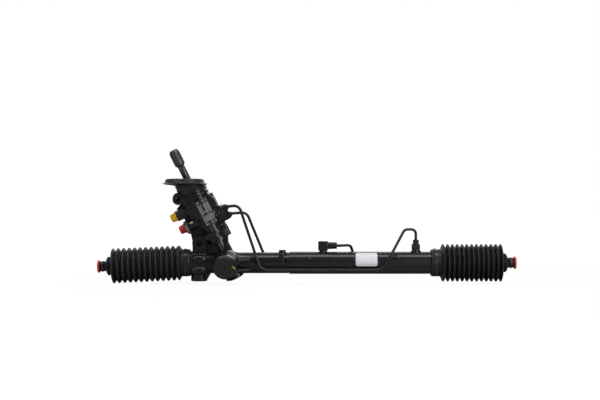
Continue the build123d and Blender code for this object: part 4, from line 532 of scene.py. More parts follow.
def grid_faces(rows: int, wide: int, steps: int) -> list[Quad]:
    """Quads between rows of points, the last of which joins the first.

    Args:
        rows: Number of rows.
        wide: Points in each row.
        steps: Quads in each row, as many as its points where it closes on itself.

    Returns:
        Corner numbers of each quad.
    """
    faces: list[Quad] = []
    for row in range(rows):
        here, there = row * wide, (row + 1) % rows * wide
        faces += [(here + k, here + (k + 1) % wide, there + (k + 1) % wide, there + k) for k in range(steps)]
    return faces


def ring_shell(name: str, rings: list[Ring], segments: int) -> Piece:
    """Close a loop of rings, one after another, into a shell.

    Args:
        name: Name of the piece.
        rings: Centre, axis and radius of each ring, in order round the section.
        segments: Points in each ring.

    Returns:
        The new object.
    """
    points: list[Vector] = []
    for centre, axis, radius in rings:
        side = axis.cross(WORLD_Y).normalized()
        up = side.cross(axis).normalized()
        for k in range(segments):
            turn = 2 * math.pi * k / segments
            points.append(centre + side * (radius * math.cos(turn)) + up * (radius * math.sin(turn)))
    return mesh_object(name, points, grid_faces(len(rings), segments, segments))


def place_piece(piece: Piece, origin: Vector, across: Vector, axis: Vector) -> Piece:
    """Move a piece's mesh from its own frame to its place, leaving the object at the origin.

    Args:
        piece: The piece, made round its own +Z.
        origin: Where its own origin goes.
        across: Where its own +X points.
        axis: Where its own +Z points.

    Returns:
        The piece.
    """
    turn = Matrix((across, axis.cross(across), axis)).transposed().to_4x4()
    piece.data.transform(Matrix.Translation(origin) @ turn)
    return piece


def turned_piece(name: str, profile: Outline, segments: int = 48) -> Piece:
    """Turn a closed outline of (radius, height) points round +Z."""
    return ring_shell(name, [(WORLD_Z * height, WORLD_Z, radius) for radius, height in profile], segments)


def drum(bore: float, radius: float, low: float, high: float, edge: float) -> Outline:
    """Outline of a drum: the radius of its hole, its outer radius, lower and upper face and broken edge."""
    return ((bore, low), (radius - edge, low), (radius, low + edge), (radius, high - edge),
            (radius - edge, high), (bore, high))


def strip_piece(name: str, line: Outline, width: float, wall: float) -> Piece:
    """Make a bent metal strip from a line in its own XZ plane.

    Args:
        name: Name of the piece.
        line: Points of the strip's middle.
        width: Width along Y.
        wall: Thickness.

    Returns:
        The new object.
    """
    left, right = [], []
    last = len(line) - 1
    for k, (x, z) in enumerate(line):
        before, after = line[max(k - 1, 0)], line[min(k + 1, last)]
        run = Vector((after[0] - before[0], 0.0, after[1] - before[1])).normalized()
        normal = Vector((-run.z, 0.0, run.x)) * (wall / 2)
        left.append(Vector((x, 0.0, z)) + normal)
        right.append(Vector((x, 0.0, z)) - normal)
    loop = left + right[::-1]
    count = len(loop)
    half = Vector((0.0, width / 2, 0.0))
    points = [p - half for p in loop] + [p + half for p in loop]
    faces: list[Quad] = [(k, (k + 1) % count, count + (k + 1) % count, count + k) for k in range(count)]
    for shift in (0, count):
        far = shift + count - 1
        faces += [(shift + k, shift + k + 1, far - 1 - k, far - k) for k in range(last)]
    return mesh_object(name, points, faces, smooth=False)


# ---- boots
@dataclass
class Boot:
    """A rubber bellows from a housing end to the plug in its small mouth."""

    name: str
    side: Side
    body: Body
    start_x: float
    collar: float
    pitch: float
    tilt: float = 0.0
    ridge: float = 0.0368
    valley: float = 0.0295
    folds: int = 13
    roundness: float = 0.55
    small_floor: float = 0.0166
    small_proud: float = 0.0062
    small_length: float = 0.010
    small_steps: int = 8
    neck: float = 0.0103
    neck_length: float = 0.013
    wall: float = 0.0016
    bore: float = 0.0088
    seat: float = 0.02503
    collar_outer: float = 0.0279
    bead: Span = (0.0008, 0.0016)
    bead_shares: Span = (0.2, 0.8)
    bead_steps: int = 6
    tube_start: float = -0.0004
    edge: float = 0.0006
    bend_length: float = 0.01
    stretch_past: float = 0.008
    steps: int = 12
    segments: int = 96

    @property
    def length(self) -> float:
        """Length of the folds."""
        return self.folds * self.pitch

    def lean(self, along: float) -> float:
        """Turn of the section at a distance past the collar."""
        return self.tilt * min(max(along / self.bend_length, 0.0), 1.0)

    def centre(self, along: float) -> Vector:
        """Centre of the section at a distance past the collar."""
        reach = max(along, 0.0)
        shift = along * math.cos(self.tilt) if along > 0 else along
        return Vector((self.start_x + self.side.value * shift, 0.0, -math.sin(self.tilt) * reach))

    def collar_outline(self) -> list[Span]:
        """Radius and distance along the collar, with its two moulded beads."""
        points = [(self.collar_outer - self.edge, -self.collar), (self.collar_outer, self.edge - self.collar)]
        proud, half = self.bead
        for share in self.bead_shares:
            middle = share * self.collar - self.collar
            for step in range(self.bead_steps + 1):
                turn = math.pi * step / self.bead_steps
                points.append((self.collar_outer + proud * math.sin(turn), middle - half * math.cos(turn)))
        return points

    def tube_outline(self) -> list[Span]:
        """Radius and distance along the tube that the folds swell from."""
        points = [(self.valley, self.tube_start)]
        for row in range(1, self.folds * self.steps + 1):
            share = row / self.steps
            radius = self.valley
            if share > self.folds - 0.5:
                swell = (0.5 - 0.5 * math.cos(2 * math.pi * share)) ** self.roundness
                radius = self.small_floor + (self.valley - self.small_floor) * swell
            points.append((radius, share * self.pitch))
        return points

    def neck_outline(self) -> list[Span]:
        """Radius and distance along the small fold and the neck."""
        points = []
        for step in range(1, self.small_steps + 1):
            share = step / self.small_steps
            floor = self.small_floor + (self.neck - self.small_floor) * share
            radius = floor + self.small_proud * math.sin(math.pi * share)
            points.append((radius, self.length + self.small_length * share))
        points.append((self.neck, self.length + self.small_length + self.neck_length))
        return points

    def bend(self, piece: Piece) -> None:
        """Carry the straight boot from its own +X to its place."""
        for vertex in piece.data.vertices:
            along, y, z = vertex.co
            turn = self.lean(along)
            up = Vector((self.side.value * math.sin(turn), 0.0, math.cos(turn)))
            vertex.co = self.centre(along) + WORLD_Y * y + up * z
        if self.side is Side.LEFT:
            piece.data.flip_normals()

    def build(self, book: FinishBook, folds: GeometryTree) -> Piece:
        """Make the boot, dress it and bend it between the housing and the plug.

        Args:
            book: The finishes.
            folds: The tree that swells the folds.

        Returns:
            The boot.
        """
        outer = self.collar_outline() + self.tube_outline() + self.neck_outline()
        inner = [(max(radius - self.wall, self.bore) if along > 0 else self.seat, along)
                 for radius, along in outer]
        rings = [(WORLD_X * along, WORLD_X, radius) for radius, along in outer + inner[::-1]]
        boot = ring_shell(self.name + "_skin", rings, self.segments)
        folds.apply(boot, {"Folds": float(self.folds), "Pitch": self.pitch, "Depth": self.ridge - self.valley,
                           "Roundness": self.roundness}, book.get("boot_rubber"))
        self.bend(boot)
        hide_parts(self.name)
        end = self.centre(self.length + self.stretch_past)
        tuple(self.centre(0.0))
        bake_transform(boot)
        return boot


# ---- bulkhead seal
@dataclass
class BulkheadSeal:
    """Moulded seal: a level flange with a thick bead, drawn down on to the valve casting's tilted neck."""

    centre: Span = (-0.4555, -0.00787)
    neck: Span = (0.1662, 0.0268)
    sleeve: float = 0.0303
    tuck: Span = (0.0002, 0.0004)
    foot: float = 0.1672
    ribs: int = 3
    rib: Outline = ((0.15, 0.0), (0.4, 0.0010), (0.7, 0.0010), (0.95, 0.0001))
    shelf: tuple[tuple[float, float, float], ...] = (
        (0.1606, 0.0321, 0.0108), (0.1618, 0.0333, 0.0094), (0.1626, 0.0360, 0.0050))
    bead: Outline = (
        (0.1632, 0.0370), (0.1645, 0.0430), (0.1651, 0.0475), (0.1655, 0.0486), (0.1659, 0.0475),
        (0.1668, 0.0438), (0.1680, 0.0418), (0.1705, 0.0409), (0.1732, 0.0401), (0.1752, 0.0386),
        (0.1760, 0.0362), (0.1759, 0.0335), (0.1748, 0.0312), (0.1727, 0.0295), (0.1700, 0.0280),
        (0.1688, 0.0250))
    dish: float = 0.0170
    mouth: Span = (0.1870, 0.0100)
    inside: Outline = (
        (0.1835, 0.0098), (0.1800, 0.0140), (0.1750, 0.0222), (0.1722, 0.02405), (0.1662, 0.02405))
    segments: int = 128

    def level(self, height: float, radius: float, shift: float = 0.0) -> Ring:
        """Level ring of the flange, moved to the right by a shift."""
        x, y = self.centre
        return Vector((x + shift, y, height)), WORLD_Z, radius

    def tilted(self, height: float, radius: float) -> Ring:
        """Ring square to the pinion axis, at a height up it."""
        return tower_place(0.0, 0.0, height), TOWER_UP, radius

    def between(self, low: Ring, high: Ring, share: float, radius: float) -> Ring:
        """Ring of a radius, a share of the way from one ring to another."""
        return low[0].lerp(high[0], share), low[1].lerp(high[1], share).normalized(), radius

    def rings(self) -> list[Ring]:
        """Rings round the section: up the outside, over the bead, into the dish and down the inside."""
        foot = self.tilted(self.foot, self.sleeve)
        shelf = [self.level(*ring) for ring in self.shelf]
        lip = self.tilted(self.neck[0] + self.tuck[0], self.sleeve - self.tuck[1])
        rings = [self.tilted(*self.neck), lip, foot]
        for rib in range(self.ribs):
            rings += [self.between(foot, shelf[0], (rib + share) / self.ribs, self.sleeve + proud)
                      for share, proud in self.rib]
        rings += shelf + [self.level(*ring) for ring in self.bead]
        mouth = self.tilted(*self.mouth)
        rings += [self.between(rings[-1], mouth, 0.5, self.dish), mouth]
        return rings + [self.tilted(*ring) for ring in self.inside]

    def build(self, book: FinishBook) -> Piece:
        """Make the seal in place of its plain solid."""
        seal = ring_shell("bulkhead_seal_moulding", self.rings(), self.segments)
        return book.dress(seal, "seal_rubber", Body.HOUSING, replaces="bulkhead_seal")


# ---- sticker
@dataclass
class Sticker:
    """Plain sticker with round corners on the front of the barrel."""

    left: float = PINION_X + 0.267
    right: float = PINION_X + 0.3125
    low: float = -0.0060
    high: float = 0.0212
    corner: float = 0.0036
    lift: float = 0.00003
    thick: float = 0.00014
    columns: int = 24
    rows: int = 32

    def inset(self, z: float) -> float:
        """How far the round corners draw the ends in at a height."""
        deep = max(0.0, self.corner - min(z - self.low, self.high - z))
        return self.corner - math.sqrt(max(self.corner ** 2 - deep ** 2, 0.0))

    def build(self, book: FinishBook) -> Piece:
        """Make the sticker in place of its plain solid."""
        loop = [(k / self.rows, self.thick) for k in range(self.rows + 1)]
        loop += [(k / self.rows, 0.0) for k in range(self.rows, -1, -1)]
        points = []
        for share, proud in loop:
            z = self.low + (self.high - self.low) * (0.5 - 0.5 * math.cos(math.pi * share))
            turn = math.asin(z / TUBE_RADIUS)
            radius = TUBE_RADIUS + self.lift + proud
            inset = self.inset(z)
            for column in range(self.columns + 1):
                x = self.left + inset + (self.right - self.left - 2 * inset) * column / self.columns
                points.append(Vector((x, -radius * math.cos(turn), radius * math.sin(turn))))
        wide, count = self.columns + 1, len(loop)
        faces = grid_faces(count, wide, self.columns)
        for row in range(self.rows):
            mirror = count - 1 - row
            faces += [(row * wide + column, (row + 1) * wide + column, (mirror - 1) * wide + column,
                       mirror * wide + column) for column in (0, self.columns)]
        sticker = mesh_object("plain_sticker", points, faces)
        return book.dress(sticker, "label_paper", Body.HOUSING, replaces="label")


# ---- small trim
@dataclass
class RidgeRing:
    """A ring of small moulded or rolled ridges."""

    name: str
    body: Body
    slot: str
    place: Vector
    across: Vector
    axis: Vector
    count: int
    radius: float
    ridge: float
    length: float

    def build(self, book: FinishBook, ridges: GeometryTree) -> Piece:
        """Stand the ridges round their axis.

        Args:
            book: The finishes.
            ridges: The tree that stands a ring of ridges.

        Returns:
            The ring.
        """
        ring = mesh_object(self.name, [], [])
        ridges.apply(ring, {"Ridges": self.count, "Radius": self.radius, "Size": self.ridge,
                            "Length": self.length}, book.get(self.slot))
        return book.dress(place_piece(ring, self.place, self.across, self.axis), self.slot, self.body)


@dataclass
class ShaftHead:
    """The input shaft's blackened sleeve, and the fine serrations of its head."""

    ends: Span = (0.1860, 0.2275)
    bore: float = 0.0056
    radius: float = 0.0074
    edge: float = 0.0006
    head: float = 0.2425

    def sleeve(self, book: FinishBook) -> Piece:
        """Turn the sleeve round the shaft's neck."""
        sleeve = turned_piece("shaft_sleeve", drum(self.bore, self.radius, *self.ends, self.edge))
        place_piece(sleeve, TOWER_ORIGIN, TOWER_ACROSS, TOWER_UP)
        return book.dress(sleeve, "shaft_steel", Body.INPUT)

    def serrations(self) -> RidgeRing:
        """The serrations of the head."""
        return RidgeRing("head_serrations", Body.INPUT, "shaft_steel", tower_place(0.0, 0.0, self.head),
                         TOWER_ACROSS, TOWER_UP, count=48, radius=0.01078, ridge=0.00018, length=0.0200)


@dataclass
class ClampEar:
    """Pinched ear that closes a boot's band."""

    name: str
    band_x: float
    turn: float
    radius: float = 0.0288
    width: float = 0.0066
    wall: float = 0.0008
    height: float = 0.0036
    half: float = 0.0021
    feet: Span = (2.4, 1.25)
    bulge: float = 1.1
    rise: float = 0.0006
    steps: int = 8

    def line(self) -> list[Span]:
        """Middle of the ear's strip: foot, leg, round top, leg, foot."""
        floor = self.wall / 2
        feet = [(share * self.half, floor) for share in self.feet] + [(self.half, floor + self.rise)]
        points = [(-x, z) for x, z in feet]
        for step in range(self.steps + 1):
            turn = math.pi * (1 - step / self.steps)
            points.append((self.bulge * self.half * math.cos(turn),
                           self.height - self.half + self.half * math.sin(turn)))
        return points + feet[::-1]

    def build(self, book: FinishBook) -> Piece:
        """Bend the ear and set it on the band."""
        ear = strip_piece(self.name, self.line(), self.width, self.wall)
        outward = Vector((0.0, math.cos(self.turn), math.sin(self.turn)))
        round_band = Vector((0.0, -math.sin(self.turn), math.cos(self.turn)))
        place_piece(ear, WORLD_X * self.band_x + outward * self.radius, round_band, outward)
        return book.dress(ear, "dark_steel", Body.HOUSING)


@dataclass(frozen=True)
class TrimTurning:
    """One small turned fitting beside the pinion axis: its outline, place and lie."""

    name: str
    finish: str
    slot: str
    profile: Outline
    place: tuple[float, float, float]
    across: Vector
    axis: Vector


@dataclass(frozen=True)
class PaintDab:
    """One uneven dab of marking paint: its place, long direction, outward direction and half sizes."""

    name: str
    origin: Vector
    along: Vector
    out: Vector
    size: tuple[float, float, float]


@dataclass
class CastingTrim:
    """Small fittings and marks on the castings: collars, a zinc cap, a port face lightened by a painted
    highlight, a tab and paint dabs.
    """

    collar: Outline = (
        (0.0031, 0.0), (0.0054, 0.0), (0.0060, 0.0006), (0.0060, 0.0022), (0.0052, 0.0030), (0.0044, 0.0034),
        (0.0040, 0.0046), (0.0031, 0.0050))
    cap: Outline = (
        (0.0, 0.0), (0.0030, 0.0), (0.0036, 0.0005), (0.0036, 0.0052), (0.0030, 0.0058), (0.0030, 0.0078),
        (0.0025, 0.0084), (0.0, 0.0084))
    tab: Outline = ((-0.0050, -0.0012), (-0.0030, 0.0004), (0.0, 0.0010), (0.0030, 0.0022), (0.0052, 0.0046))
    tab_size: Span = (0.0040, 0.0010)
    tab_place: tuple[float, float, float] = (0.0375, -0.0020, 0.1140)
    yoke_reach: tuple[float, float, float] = (0.0190, 0.0005, 0.0570)
    slant: Span = (0.8, 0.6)
    wobble: float = 0.28
    wobble_scale: float = 1.7
    wobble_shift: float = 300.0

    def turnings(self) -> list[TrimTurning]:
        """The small turned fittings."""
        fittings = [TrimTurning(f"{name}_pipe_collar", "pipe_black", "pipe_black", self.collar,
                                (0.0470, 0.0, height), TOWER_BACK, TOWER_ACROSS)
                    for name, height in (("upper", 0.1058), ("lower", 0.0890))]
        return fittings + [
            TrimTurning("zinc_cap", "zinc_clip", "bright_steel", self.cap, (-0.0265, -0.0205, 0.1098),
                        TOWER_UP, -TOWER_ACROSS),
            # The port face takes the lighter finish, which paints in its highlight.
            TrimTurning("port_face", "machined_face", "dark_steel", drum(0.0, 0.0120, 0.0, 0.0057, 0.0005),
                        (-0.0400, -0.0205, 0.1025), TOWER_UP, -TOWER_ACROSS)]

    def dabs(self) -> list[PaintDab]:
        """The dabs of marking paint."""
        right, up, out = self.yoke_reach
        along = (WORLD_X * self.slant[0] - YOKE_UP * self.slant[1]).normalized()
        ring = YOKE_ORIGIN + WORLD_X * right + YOKE_UP * up + YOKE_OUT * out
        return [PaintDab("locknut_dab", ring, along, YOKE_OUT, (0.0042, 0.0017, 0.0004)),
                PaintDab("barrel_speck", Vector((-0.1934, -0.02085, 0.0106)), WORLD_X,
                         Vector((0.0, -0.891, 0.453)), (0.0011, 0.0008, 0.0002)),
                PaintDab("union_speck", Vector((-0.0455, -0.01270, 0.01966)), WORLD_X,
                         Vector((0.0, -0.5427, 0.8401)), (0.0009, 0.0007, 0.0002))]

    def paint(self, dab: PaintDab) -> Piece:
        """Lay one dab of paint."""
        build = bmesh.new()
        bmesh.ops.create_icosphere(build, subdivisions=3, radius=1.0)
        length, width, height = dab.size
        for vertex in build.verts:
            place = vertex.co * self.wobble_scale + dab.origin * self.wobble_shift
            wobble = 1.0 + self.wobble * noise.noise(place)
            x, y, z = vertex.co
            vertex.co = x * length * wobble, y * width * wobble, z * height
        piece = stand_mesh(build, bpy.data.meshes.new(dab.name), True)
        return place_piece(piece, dab.origin, dab.along, dab.out)

    def build(self, book: FinishBook) -> list[Piece]:
        """Make all the small fittings."""
        pieces = []
        for item in self.turnings():
            piece = turned_piece(item.name, item.profile)
            place_piece(piece, tower_place(*item.place), item.across, item.axis)
            pieces.append(book.dress(piece, item.slot, Body.HOUSING, item.finish))
        tab = strip_piece("lifting_tab", self.tab, *self.tab_size)
        place_piece(tab, tower_place(*self.tab_place), TOWER_ACROSS, TOWER_UP)
        pieces.append(book.dress(tab, "bright_steel", Body.HOUSING, "zinc_clip"))
        return pieces + [book.dress(self.paint(dab), "yellow_plastic", Body.HOUSING, "marking_paint")
                         for dab in self.dabs()]


# ---- cast forms
@dataclass(frozen=True)
class CastPlate:
    """One cast wall: its outline seen from the front, and how far it runs front to back."""

    name: str
    front: float
    back: float
    outline: Outline
    bevel: float = 0.0016


@dataclass(frozen=True)
class CastBoss:
    """One round boss that faces the front."""

    name: str
    x: float
    z: float
    radius: float
    front: float
    back: float
    recess: float


def upright(left: float, right: float, low: float, high: float) -> Outline:
    """Outline of a plain upright rectangle."""
    return (left, low), (right, low), (right, high), (left, high)


@dataclass
class CastSkin:
    """Fillets, webs and bosses that fill out the valve casting and its joint face."""

    plates: tuple[CastPlate, ...] = (
        CastPlate("port_web", -0.006, 0.019, (
            (-0.4568, 0.0925), (-0.4560, 0.1035), (-0.4400, 0.1090), (-0.4206, 0.0956), (-0.4089, 0.0670),
            (-0.4055, 0.0435), (-0.4055, 0.0250), (-0.4335, 0.0250), (-0.4352, 0.0270), (-0.4391, 0.0435),
            (-0.4428, 0.0603), (-0.4462, 0.0645), (-0.4500, 0.0771))),
        CastPlate("port_shoulder", -0.005, 0.017, (
            (-0.4660, 0.1215), (-0.4735, 0.1115), (-0.4576, 0.1073), (-0.4408, 0.1073), (-0.4374, 0.1225),
            (-0.4576, 0.1275))),
        CastPlate("block_left_rim", -0.0238, -0.0160, upright(-0.4397, -0.4373, -0.0190, 0.0190), 0.0009),
        CastPlate("block_right_rim", -0.0238, -0.0160, upright(-0.4103, -0.4079, -0.0190, 0.0190), 0.0009),
        CastPlate("barrel_rib", -0.0222, -0.0120, upright(-0.2900, -0.2560, -0.0032, -0.0010), 0.0008),
        CastPlate("barrel_pad", -0.0230, -0.0120, (
            (-0.2600, -0.0060), (-0.2475, -0.0060), (-0.2475, 0.0200), (-0.2560, 0.0200), (-0.2600, 0.0080)),
                  0.0014),
        CastPlate("knob_web", -0.007, 0.015, (
            (-0.4677, 0.1490), (-0.4526, 0.1507), (-0.4475, 0.1225), (-0.4660, 0.1208))),
    )
    bosses: tuple[CastBoss, ...] = (
        CastBoss("side_knob", -0.4690, 0.1359, 0.0108, -0.017, 0.012, 0.0035),
        CastBoss("pipe_boss", -0.3880, 0.1078, 0.0135, -0.019, 0.010, 0.0012),
    )
    bands: tuple[tuple[float, float, float], ...] = (
        (0.0900, 0.0275, 0.0020), (0.0965, 0.0280, 0.0022), (0.1128, 0.0280, 0.0022),
        (0.1385, 0.0283, 0.0030), (0.1462, 0.0290, 0.0046), (0.1545, 0.0294, 0.0046),
        (0.1620, 0.0296, 0.0040))
    band_bore: float = 0.0225
    edge: float = 0.0012
    band_corner: float = 0.3
    boss_corner: float = 0.35
    recess_radii: tuple[float, float, float] = (0.62, 0.58, 0.55)
    lands: Span = (0.0080, -0.0156)
    land_radius: float = 0.0090
    land_front: float = 0.0246
    land_ends: Span = (-0.4372, -0.4104)
    land_edge: float = 0.0010
    joint_height: float = 0.0665
    joint_thick: float = 0.0105
    joint_tilt: float = math.radians(9.0)
    joint_left: float = 0.0345
    joint_right: float = 0.0290
    joint_front: float = 0.0375
    joint_back: float = 0.0280
    joint_steps: int = 72
    segments: int = 72

    def solid(self, name: str, outline: Outline, low: float, high: float, bevel: float) -> Piece:
        """Raise an outline in its own XY plane into a solid with rounded edges.

        Args:
            name: Name of the piece.
            outline: Corners, in order.
            low: Lower face.
            high: Upper face.
            bevel: Width of the rounding.

        Returns:
            The new object.
        """
        build = bmesh.new()
        face = build.faces.new([build.verts.new((x, y, low)) for x, y in outline])
        raised = bmesh.ops.extrude_face_region(build, geom=[face])["geom"]
        bmesh.ops.translate(build, vec=(0.0, 0.0, high - low),
                            verts=[item for item in raised if isinstance(item, bmesh.types.BMVert)])
        bmesh.ops.bevel(build, geom=build.edges[:], offset=bevel, segments=3, affect="EDGES", profile=0.5)
        bmesh.ops.recalc_face_normals(build, faces=build.faces[:])
        return settled_mesh(name, build)

    def plate(self, plate: CastPlate) -> Piece:
        """Raise one wall."""
        piece = self.solid(plate.name, plate.outline, -plate.back, -plate.front, plate.bevel)
        return place_piece(piece, Vector(), WORLD_X, -WORLD_Y)

    def joint(self) -> Piece:
        """Joint face between the valve casting and the pinion housing."""
        points = []
        for step in range(self.joint_steps):
            turn = 2 * math.pi * step / self.joint_steps
            side = self.joint_right if math.cos(turn) > 0 else self.joint_left
            depth = self.joint_back if math.sin(turn) > 0 else self.joint_front
            points.append((side * math.cos(turn), depth * math.sin(turn)))
        half = self.joint_thick / 2
        plate = self.solid("joint_face", tuple(points), -half, half, self.edge)
        lean = Matrix.Rotation(self.joint_tilt, 3, TOWER_BACK)
        place = tower_place(0.0, 0.0, self.joint_height)
        return place_piece(plate, place, lean @ TOWER_ACROSS, lean @ TOWER_UP)

    def band(self, number: int, height: float, radius: float, wide: float) -> Piece:
        """Turn one raised band round the valve casting.

        Args:
            number: Which band.
            height: Its middle up the pinion axis.
            radius: Its outer radius.
            wide: Its width along the axis.

        Returns:
            The band.
        """
        half, edge = wide / 2, min(self.edge, wide / 3)
        corner = self.band_corner * edge
        profile = ((self.band_bore, -half), (radius - edge, -half), (radius - corner, -half + corner),
                   (radius, -half + edge), (radius, half - edge), (radius - corner, half - corner),
                   (radius - edge, half), (self.band_bore, half))
        band = turned_piece(f"casting_band_{number}", profile, self.segments)
        return place_piece(band, tower_place(0.0, 0.0, height), TOWER_ACROSS, TOWER_UP)

    def land(self, number: int, height: float) -> Piece:
        """Turn one round land along the front of the mounting block."""
        profile = drum(0.0, self.land_radius, *self.land_ends, self.land_edge)
        land = turned_piece(f"block_land_{number}", profile, self.segments)
        return place_piece(land, Vector((0.0, self.land_radius - self.land_front, height)), WORLD_Y, WORLD_X)

    def boss(self, boss: CastBoss) -> Piece:
        """Turn one boss with a shallow recess in its face."""
        high, low, floor = -boss.front, -boss.back, -boss.front - boss.recess
        radius, corner = boss.radius, self.boss_corner * self.edge
        rim, step, pit = (radius * share for share in self.recess_radii)
        profile = ((0.0, low), (radius, low), (radius, high - self.edge), (radius - corner, high - corner),
                   (radius - self.edge, high), (rim, high), (step, high - boss.recess / 5), (pit, floor),
                   (0.0, floor))
        return place_piece(turned_piece(boss.name, profile), Vector((boss.x, 0.0, boss.z)), WORLD_X, -WORLD_Y)

    def build(self, book: FinishBook) -> list[Piece]:
        """Make every cast form."""
        pieces = [self.plate(plate) for plate in self.plates] + [self.boss(boss) for boss in self.bosses]
        pieces += [self.band(k, *size) for k, size in enumerate(self.bands)]
        pieces += [self.land(k, height) for k, height in enumerate(self.lands)] + [self.joint()]
        return [book.dress(piece, "cast_black", Body.HOUSING) for piece in pieces]


# ---- studio
@dataclass(frozen=True)
class SoftBox:
    """One soft box: where it hangs, what it faces, its width and height in metres and its power in watts."""

    name: str
    place: tuple[float, float, float]
    target: tuple[float, float, float]
    size: Span
    watts: float


@dataclass
class Studio:
    """Pale seamless floor, soft boxes and the level camera."""

    eye: tuple[float, float, float] = (-0.214, -2.6, 0.1317)
    lens: float = 74.3
    sensor: float = 36.0
    clip_end: float = 60.0
    floor_z: float = -0.0440
    floor_half: float = 14.0
    floor_grey: tuple[float, float, float, float] = (0.42, 0.42, 0.42, 1.0)
    floor_reach: float = 3.0
    fade: Span = (0.7, 2.2)
    glow: Span = (1.12, 1.35)
    shade_share: float = 0.16
    gloss_share: float = 0.45
    surround: float = 0.11
    world_reach: float = 0.6
    boxes: tuple[SoftBox, ...] = (
        SoftBox("top_box", (-0.214, -0.40, 1.75), PART_MIDDLE, (3.4, 0.40), 27.0),
        SoftBox("right_box", (0.85, -1.50, 0.45), (-0.38, 0.0, 0.08), (0.75, 1.1), 15.0),
        SoftBox("left_box", (-1.9, -1.10, 0.65), PART_MIDDLE, (0.5, 1.3), 5.0),
        SoftBox("back_box", (-0.214, 1.9, 1.1), PART_MIDDLE, (2.6, 0.8), 8.0),
    )

    def seen(self, graph: NodeTree, place: Socket, reach: float) -> Socket:
        """Factor of 1 for what the camera and glass see, and for what gloss sees behind the part.

        Args:
            graph: The node tree.
            place: Place on the floor, or direction in the world.
            reach: How far behind the white is whole.

        Returns:
            The factor socket.
        """
        depth = graph.add("ShaderNodeSeparateXYZ", Vector=place).outputs["Y"]
        behind = graph.remap(depth, (reach / 4, reach), (0.0, self.gloss_share))
        paths = graph.add("ShaderNodeLightPath").outputs
        result = graph.math("MULTIPLY", behind, paths["Is Glossy Ray"])
        for name in ("Is Camera Ray", "Is Transmission Ray"):
            result = graph.math("MAXIMUM", result, paths[name])
        return result

    def paper(self) -> bpy.types.Material:
        """Paper that shows white to the camera and in gloss, with a shadow near the part and none far off."""
        graph = MaterialTree("studio_paper")
        reach = graph.add("ShaderNodeVectorMath", "LENGTH", Vector=graph.place).outputs["Value"]
        strength = graph.remap(reach, self.fade, self.glow)
        glow = graph.add("ShaderNodeEmission", Strength=strength).outputs["Emission"]
        plain = graph.add("ShaderNodeBsdfDiffuse", Color=self.floor_grey).outputs["BSDF"]
        bright = graph.mix(self.shade_share, glow, plain)
        return graph.close(graph.mix(self.seen(graph, graph.place, self.floor_reach), plain, bright))

    def floor(self) -> None:
        """Lay the floor under the rack."""
        half = self.floor_half
        corners = [Vector((x, y, self.floor_z)) for x, y in upright(-half, half, -half, half)]
        plane = mesh_object("studio_floor", corners, [(0, 1, 2, 3)], smooth=False)
        plane.data.materials.append(self.paper())

    def world(self) -> None:
        """Light the surroundings evenly, white behind the rack."""
        world = bpy.data.worlds.new("studio")
        bpy.context.scene.world = world
        world.use_nodes = True
        graph = NodeTree(world.node_tree)
        graph.tree.nodes.clear()
        soft, white = (graph.add("ShaderNodeBackground", Color=(1.0, 1.0, 1.0, 1.0), Strength=strength)
                       .outputs["Background"] for strength in (self.surround, 1.0))
        way = graph.add("ShaderNodeTexCoord").outputs["Generated"]
        seen = self.seen(graph, way, self.world_reach)
        graph.add("ShaderNodeOutputWorld", Surface=graph.mix(seen, soft, white))

    def lamps(self) -> None:
        """Hang the soft boxes."""
        for box in self.boxes:
            data = bpy.data.lights.new(box.name, "AREA")
            data.shape = "RECTANGLE"
            data.size, data.size_y = box.size
            data.energy = box.watts
            lamp = bpy.data.objects.new(box.name, data)
            lamp.location = box.place
            lamp.rotation_euler = (Vector(box.target) - Vector(box.place)).to_track_quat("-Z", "Y").to_euler()
            bpy.context.scene.collection.objects.link(lamp)

    def camera(self) -> None:
        """Stand the camera level in front of the rack."""
        data = bpy.data.cameras.new("camera")
        data.lens, data.sensor_width, data.clip_end = self.lens, self.sensor, self.clip_end
        camera = bpy.data.objects.new("camera", data)
        camera.location = self.eye
        camera.rotation_euler = (math.pi / 2, 0.0, 0.0)
        bpy.context.scene.collection.objects.link(camera)
        bpy.context.scene.camera = camera

    def build(self) -> None:
        """Set up camera, light and floor."""
        bpy.context.scene.view_settings.view_transform = "Standard"
        self.camera()
        self.world()
        self.lamps()
        self.floor()


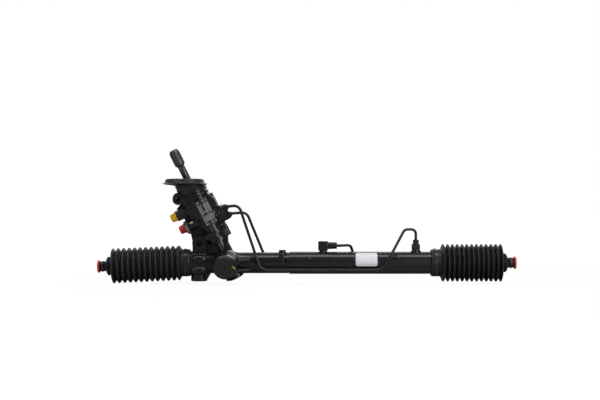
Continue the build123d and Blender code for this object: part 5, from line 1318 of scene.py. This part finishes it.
# ---- assembly
@dataclass
class SteeringRack:
    """Every dressed piece of the rack, built in order."""

    tilt: float = math.radians(2.6)
    left_start: float = PINION_X - 0.097
    right_start: float = PINION_X + 0.4457
    left_mouth: Vector = Vector((-0.634322, 0.0, -0.007825)).freeze()
    right_mouth: Vector = Vector((0.2350, 0.0, 0.0)).freeze()
    flute_height: float = 0.0021

    def boots(self) -> list[Boot]:
        """The two bellows."""
        return [Boot("left_boot", Side.LEFT, Body.LEFT_END, self.left_start, collar=0.0183, pitch=0.0115,
                     tilt=self.tilt),
                Boot("right_boot", Side.RIGHT, Body.RIGHT_END, self.right_start, collar=0.0203, pitch=0.0101,
                     ridge=0.0396, valley=0.0302)]

    def ears(self) -> list[ClampEar]:
        """The ears of the two collar bands."""
        return [ClampEar("left_band_ear", self.left_start + 0.00925, turn=2.0),
                ClampEar("right_band_ear", self.right_start - 0.01025, turn=1.1)]

    def flutes(self) -> list[RidgeRing]:
        """The flutes round the rims of the two end plugs."""
        rings = []
        for side, body, mouth, tilt in ((Side.LEFT, Body.LEFT_END, self.left_mouth, self.tilt),
                                        (Side.RIGHT, Body.RIGHT_END, self.right_mouth, 0.0)):
            axis = Vector((side.value * math.cos(tilt), 0.0, -math.sin(tilt)))
            rings.append(RidgeRing(f"{side.name.lower()}_plug_flutes", body, "red_plastic",
                                   mouth + axis * self.flute_height, WORLD_Y, axis, count=24, radius=0.01235,
                                   ridge=0.0006, length=0.0030))
        return rings

    def build(self) -> list[Piece]:
        """Dress the carried-over nodes and make every piece.

        Returns:
            The new pieces.
        """
        book = FinishBook()
        book.dress_frame()
        folds, ridges = fold_tree(), ridge_tree()
        pieces = [boot.build(book, folds) for boot in self.boots()]
        head = ShaftHead()
        pieces += [BulkheadSeal().build(book), Sticker().build(book), head.sleeve(book)]
        pieces += [ring.build(book, ridges) for ring in (head.serrations(), *self.flutes())]
        pieces += [ear.build(book) for ear in self.ears()]
        return pieces + CastSkin().build(book) + CastingTrim().build(book)


def main() -> None:
    """Build and dress the whole rack."""
    logging.basicConfig(level=logging.INFO, format="%(name)s: %(message)s")
    Studio().build()
    for piece in SteeringRack().build():
        LOG.info("%s: %d faces", piece.name, len(piece.data.polygons))


if __name__ == "__main__":
    main()
